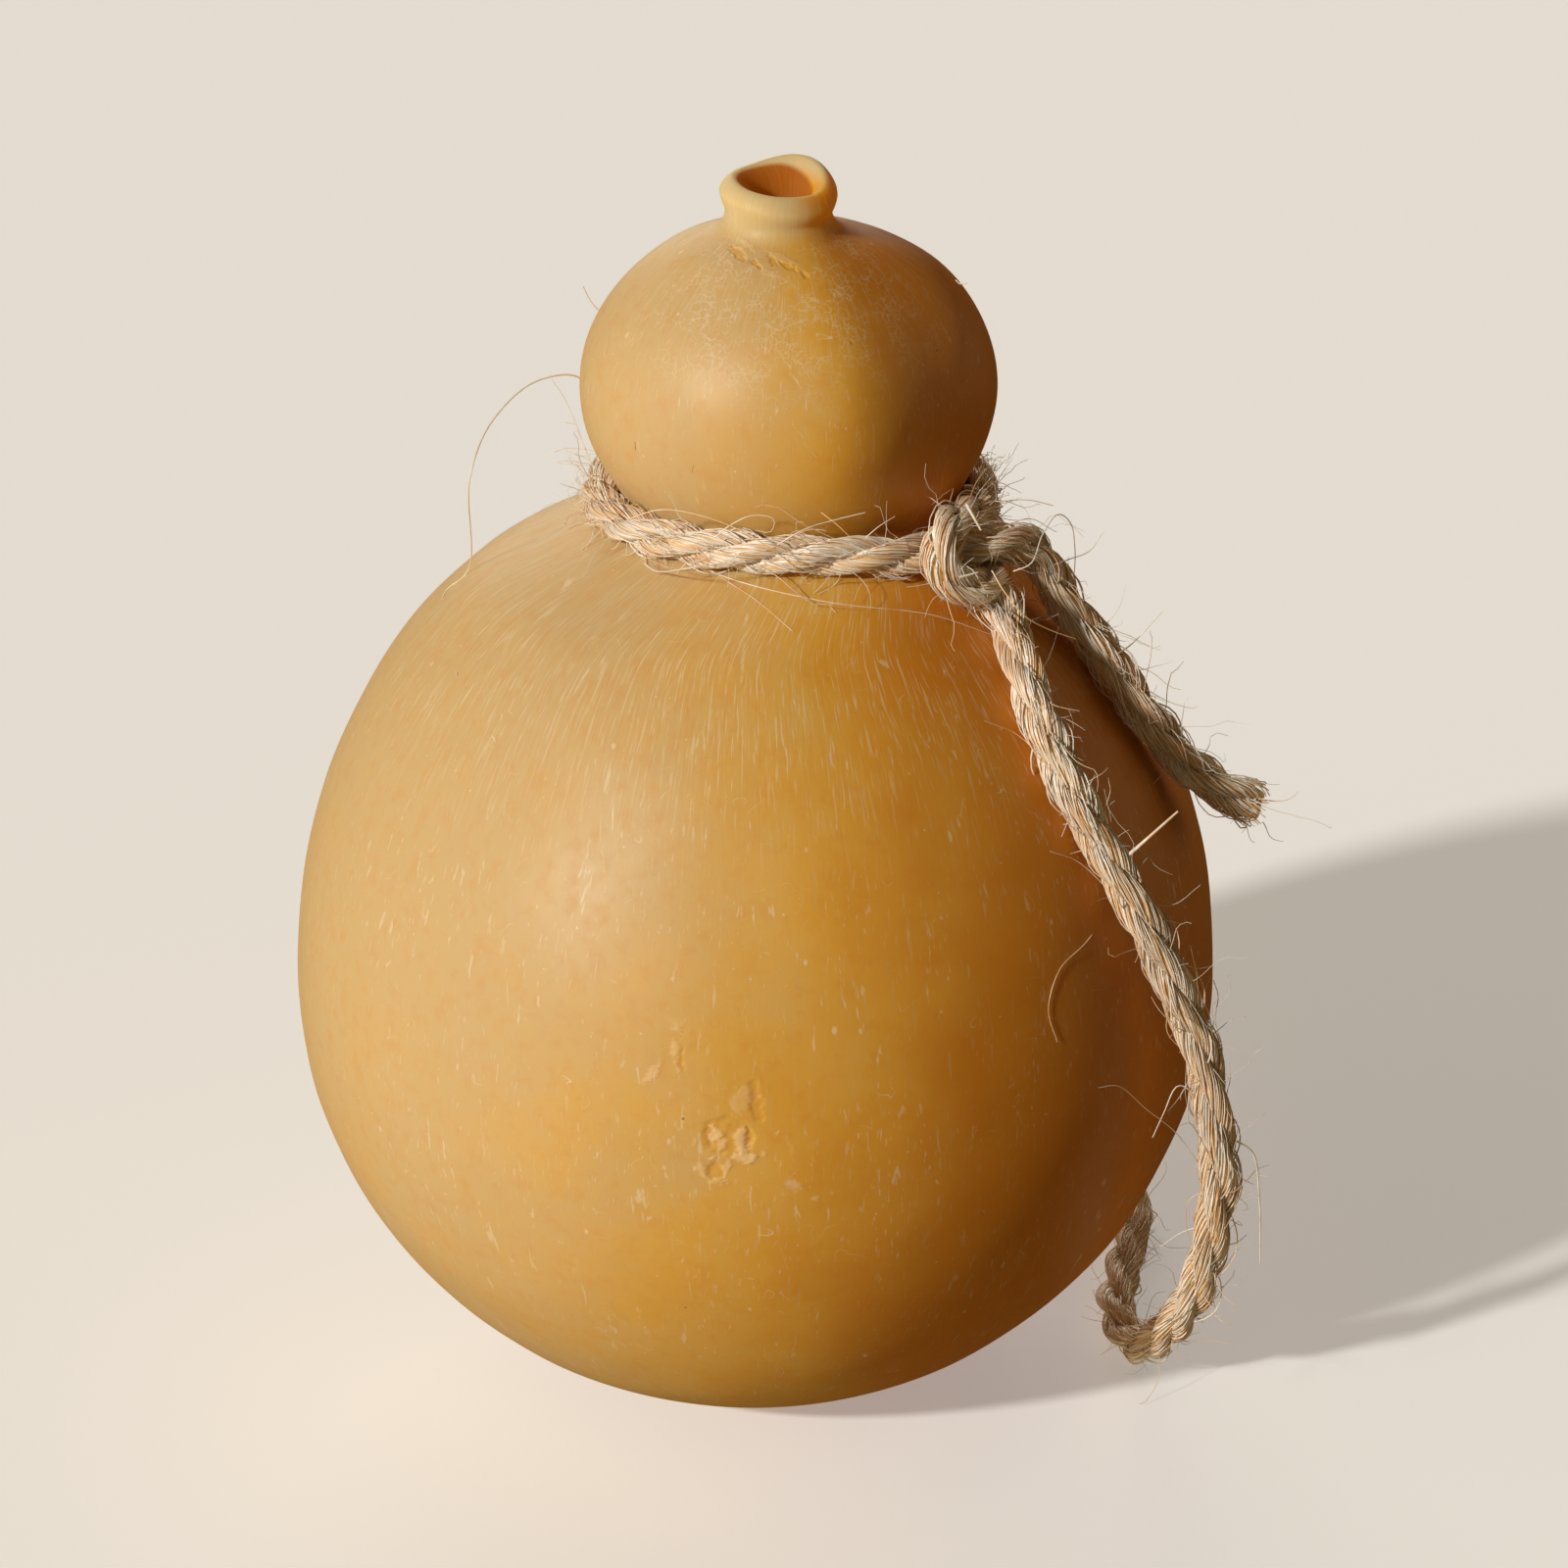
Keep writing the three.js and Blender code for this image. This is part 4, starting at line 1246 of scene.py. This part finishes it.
def rope_fuzz_tree():
    """Grows hairs out of the rope along each line of the guide."""
    start = new_tree("rope_fuzz", (
        ("Geometry", "Geometry"), ("Rope Radius", "Float"), ("Spacing", "Float"), ("Shortest", "Float"),
        ("Longest", "Float"), ("Hair Radius", "Float"), ("Curl", "Float"), ("Seed", "Int"),
        ("Sisal", "Material"),
    ))
    seed = start.out("Seed")
    lines = start.node("GeometryNodeMeshToCurve", None, {"Mesh": start})
    roots = start.node(
        "GeometryNodeCurveToPoints", {"mode": "LENGTH"}, {"Curve": lines, "Length": start.out("Spacing")}
    )
    heading = roots.out("Tangent")
    side = stored(start, "side", "FLOAT_VECTOR")
    free = stored(start, "free", "FLOAT_VECTOR")
    across = vector_math("CROSS_PRODUCT", heading, side)
    spin = random_draw(start, 0.0, 2 * math.pi, seed)
    outward = vector_math("ADD", turned(side, across, spin), scaled(free, HAIR_FREE))
    outward = vector_math("NORMALIZE", outward)
    lean = random_draw(start, -HAIR_LEAN, HAIR_LEAN, seed + 1)
    aim = vector_math("ADD", outward, scaled(heading, lean))
    draw = random_draw(start, 0.0, 1.0, seed + 2)
    shortest = start.out("Shortest")
    length = shortest + (start.out("Longest") - shortest) * draw ** HAIR_RARITY
    lifted = shifted(start, roots, scaled(outward, start.out("Rope Radius") * HAIR_ROOT))
    straight = start.node("GeometryNodeCurvePrimitiveLine", None, {"End": (0.0, 0.0, 1.0)})
    hair = start.node("GeometryNodeResampleCurve", None, {"Curve": straight, "Count": HAIR_POINTS})
    facing = start.node("FunctionNodeAlignRotationToVector", {"axis": "Z"}, {"Vector": aim})
    placed = start.node(
        "GeometryNodeInstanceOnPoints", None,
        {"Points": lifted, "Instance": hair, "Rotation": facing, "Scale": length},
    )
    real = start.node("GeometryNodeRealizeInstances", None, {"Geometry": placed})
    share = start.node("GeometryNodeSplineParameter")
    bend = pushes(start.node("GeometryNodeInputPosition"), HAIR_BENDS)
    curled = shifted(start, real, scaled(bend, share ** HAIR_STIFFNESS * start.out("Curl") * 2))
    hair_number = start.node("GeometryNodeCurveOfPoint", None, None, "Curve Index")
    tone = random_draw(start, 0.0, 1.0, 9, hair_number)
    toned = named_values(start, above_table(start, curled), "tone", 0.25 + tone * 0.75)
    thickness = start.out("Hair Radius") * (0.7 + tone * 0.8) * (1 - share * HAIR_TAPER)
    return end_tree(start, swept(start, toned, thickness, HAIR_SIDES), start.out("Sisal"))


rope_fuzz = rope_fuzz_tree()
hair_values = {
    "Rope Radius": ROPE_RADIUS, "Shortest": HAIR_SHORTEST, "Longest": HAIR_LONGEST,
    "Hair Radius": HAIR_RADIUS, "Curl": HAIR_CURL, "Sisal": sisal,
}
for hair_name, stretches, spacing, seed in (
    ("neck_hairs", [collar], 0.32 * MM, 11),
    ("knot_hairs", [knot_wrap, knot_passing], 0.55 * MM, 23),
    ("short_tail_hairs", [short_end], 0.7 * MM, 31),
    ("long_tail_hairs", [long_end], 0.8 * MM, 47),
):
    rope_piece(hair_name, stretches, rope_fuzz, hair_values | {"Spacing": spacing, "Seed": seed})

# Stray fibres: long single fibres of sisal that have worked loose, where the photograph shows them.
# Each has its thickness and the places it passes, by pixel and depth, or on the rind with no depth.
FIBRE_STEP = 0.8 * MM
FIBRE_SWELL = 1.5
FIBRE_TAPER = 0.45
FIBRE_SIDES = 5
THICK_FIBRE = 0.2
THICK_TONE = 0.9
FIBRE_TONE = 0.35
FIBRE_TONE_SPREAD = 0.3
FIBRE_TONE_STEP = 2.4
STRAY_FIBRES = (
    (0.100, ((611, 470, 4), (604, 420, 6), (590, 385, 4), (545, 390, 0), (500, 433, -8), (480, 485, -16),
             (458, 565, None), (455, 605, None), (467, 690, None))),
    (0.055, ((602, 470, -4), (578, 410, -5), (563, 387, -6))),
    (0.060, ((612, 319, -3), (602, 306, -3), (595, 292, -4))),
    (0.085, ((1034, 583, -25), (1052, 575, -25), (1064, 545, -21), (1079, 525, -18), (1092, 533, -16),
             (1097, 562, -14), (1096, 588, -12))),
    (0.070, ((1070, 580, -18), (1090, 571, -16), (1112, 562, -14), (1127, 541, -13))),
    (0.075, ((1015, 512, -14), (1048, 510, -14), (1075, 516, -13))),
    (0.075, ((1028, 536, -20), (1050, 529, -19), (1078, 543, -18))),
    (0.080, ((1010, 475, -12), (997, 491, -18), (988, 512, -24))),
    (0.210, ((986, 514, -30), (1001, 541, -31))),
    (0.150, ((979, 589, -34), (998, 584, -33))),
    (0.090, ((1012, 582, -31), (1025, 604, -33), (1045, 628, -34), (1072, 643, -32), (1098, 652, -30))),
    (0.110, ((1140, 668, -20), (1158, 654, -14), (1186, 624, -14))),
    (0.060, ((1185, 930, -45), (1142, 924, None), (1105, 964, None), (1080, 990, None), (1069, 1030, None),
             (1078, 1063, None))),
    (0.230, ((1150, 874, -46), (1166, 860, -47), (1202, 828, -46))),
    (0.050, ((1071, 869, None), (1100, 880, None), (1137, 914, -47))),
    (0.050, ((1004, 736, None), (1040, 752, None), (1075, 790, -45))),
    (0.120, ((1260, 1163, -43), (1278, 1176, -42), (1285, 1225, -41), (1286, 1289, -40))),
    (0.070, ((730, 548, -33), (745, 536, -33), (768, 526, -33), (790, 530, -33), (786, 543, -33),
             (771, 541, -33))),
    (0.080, ((640, 530, -31), (677, 520, -32), (744, 536, -34), (801, 570, -36), (822, 592, None),
             (853, 626, None))),
    (0.060, ((690, 570, None), (760, 596, None), (850, 616, None), (950, 628, None), (1010, 648, None))),
    (0.060, ((713, 574, None), (744, 595, None), (770, 612, None), (809, 645, None))),
    (0.080, ((658, 576, None), (668, 583, None), (700, 580, -37), (745, 572, -36), (757, 562, -36))),
    (0.065, ((793, 556, -34), (821, 540, -34), (850, 531, -33), (883, 523, -33))),
    (0.055, ((838, 523, -31), (856, 537, -33), (873, 554, -34))),
    (0.055, ((883, 549, -33), (897, 537, -33), (913, 527, -32))),
    (0.065, ((859, 583, -35), (852, 597, None), (835, 608, None))),
    (0.055, ((1226, 1192, -42), (1201, 1157, -46), (1170, 1132, -51), (1140, 1108, -56), (1121, 1110, -58))),
    (0.090, ((1228, 1124, -44), (1202, 1108, -46), (1187, 1137, -48), (1176, 1161, -50))),
    (0.060, ((1228, 1216, -41), (1214, 1224, -41), (1210, 1245, -40), (1214, 1266, -39))),
    (0.060, ((1238, 1250, -39), (1209, 1256, -38), (1184, 1272, -37))),
    (0.060, ((1200, 1334, -28), (1184, 1341, -28), (1166, 1347, -28))),
    (0.060, ((1250, 1271, -38), (1262, 1268, -38), (1272, 1260, -38))),
    (0.080, ((1242, 1102, -44), (1247, 1072, -40), (1240, 1042, -32), (1243, 1016, -25), (1238, 1000, -20))),
    (0.090, ((974, 287, None), (982, 290, -5), (987, 289, -5))),
    (0.090, ((1080, 640, None), (1072, 665, None), (1060, 688, -36), (1048, 705, -38))),
)


def fibre_tree():
    """Draws a thin tapered tube along each line of the guide."""
    start = new_tree("stray_fibre", (("Geometry", "Geometry"), ("Sisal", "Material")))
    lines = start.node("GeometryNodeMeshToCurve", None, {"Mesh": start})
    share = start.node("GeometryNodeSplineParameter")
    thickness = stored(start, "thick") * FIBRE_SWELL * (1 - share * FIBRE_TAPER)
    tubes = swept(start, lines, thickness, FIBRE_SIDES)
    return end_tree(start, tubes, start.out("Sisal"))


fibre_stretches = []
for number, (thickness, stops) in enumerate(STRAY_FIBRES):
    fibre_line = smooth_line([seen_place(*stop) for stop in stops], FIBRE_STEP)
    count = len(fibre_line)
    tone = FIBRE_TONE + FIBRE_TONE_SPREAD * math.sin(number * FIBRE_TONE_STEP)
    if thickness >= THICK_FIBRE:
        tone = THICK_TONE
    fibre_stretches.append({
        "place": fibre_line,
        "along": np.linspace(0, count * FIBRE_STEP, count),
        "thick": np.full(count, thickness * MM),
        "tone": np.full(count, tone),
    })
rope_piece("stray_fibres", fibre_stretches, fibre_tree(), {"Sisal": sisal})

# Studio light: a warm key from high on the left, faint soft light from the right and from behind, and a
# dim room that glows from the lower left, as a lit table does. Each lamp has the way to it, how wide it
# looks in degrees, its strength and its colour.
LAMPS = {
    "key_lamp": ((-0.644, -0.633, 0.430), 3.5, 2.62, (1.0, 0.97, 0.91)),
    "fill_lamp": ((0.95, 0.35, 0.2), 48.0, 0.36, (1.0, 0.67, 0.30)),
    "back_lamp": ((-0.15, 1.0, 0.35), 40.0, 0.9, (1.0, 0.86, 0.66)),
}
ROOM_COLOUR = (0.058, 0.040, 0.018, 1.0)
TABLE_GLOW_FROM = (-0.84, -0.36, -0.40)
TABLE_GLOW_COLOUR = (0.70, 0.53, 0.31, 1.0)
TABLE_GLOW_SPREAD = (0.1, 1.0)
for lamp_name, (lamp_from, width, strength, lamp_colour) in LAMPS.items():
    lamp_data = bpy.data.lights.new(lamp_name, "SUN")
    lamp_data.angle = math.radians(width)
    lamp_data.energy = strength
    lamp_data.color = lamp_colour
    lamp = add_object(lamp_name, lamp_data)
    lamp.rotation_euler = Vector(lamp_from).to_track_quat("Z", "Y").to_euler()

world = bpy.data.worlds.new("studio")
world.use_nodes = True
bpy.context.scene.world = world
bpy.context.scene.view_settings.view_transform = "Standard"
room = Wire(world.node_tree)
room_view = room.node("ShaderNodeTexCoord", None, None, "Generated")
towards_table = vector_math("DOT_PRODUCT", room_view, TABLE_GLOW_FROM, output="Value")
room_colour = blend(fade(towards_table, *TABLE_GLOW_SPREAD), ROOM_COLOUR, TABLE_GLOW_COLOUR)
world.node_tree.links.new(room_colour.socket, world.node_tree.nodes["Background"].inputs["Color"])
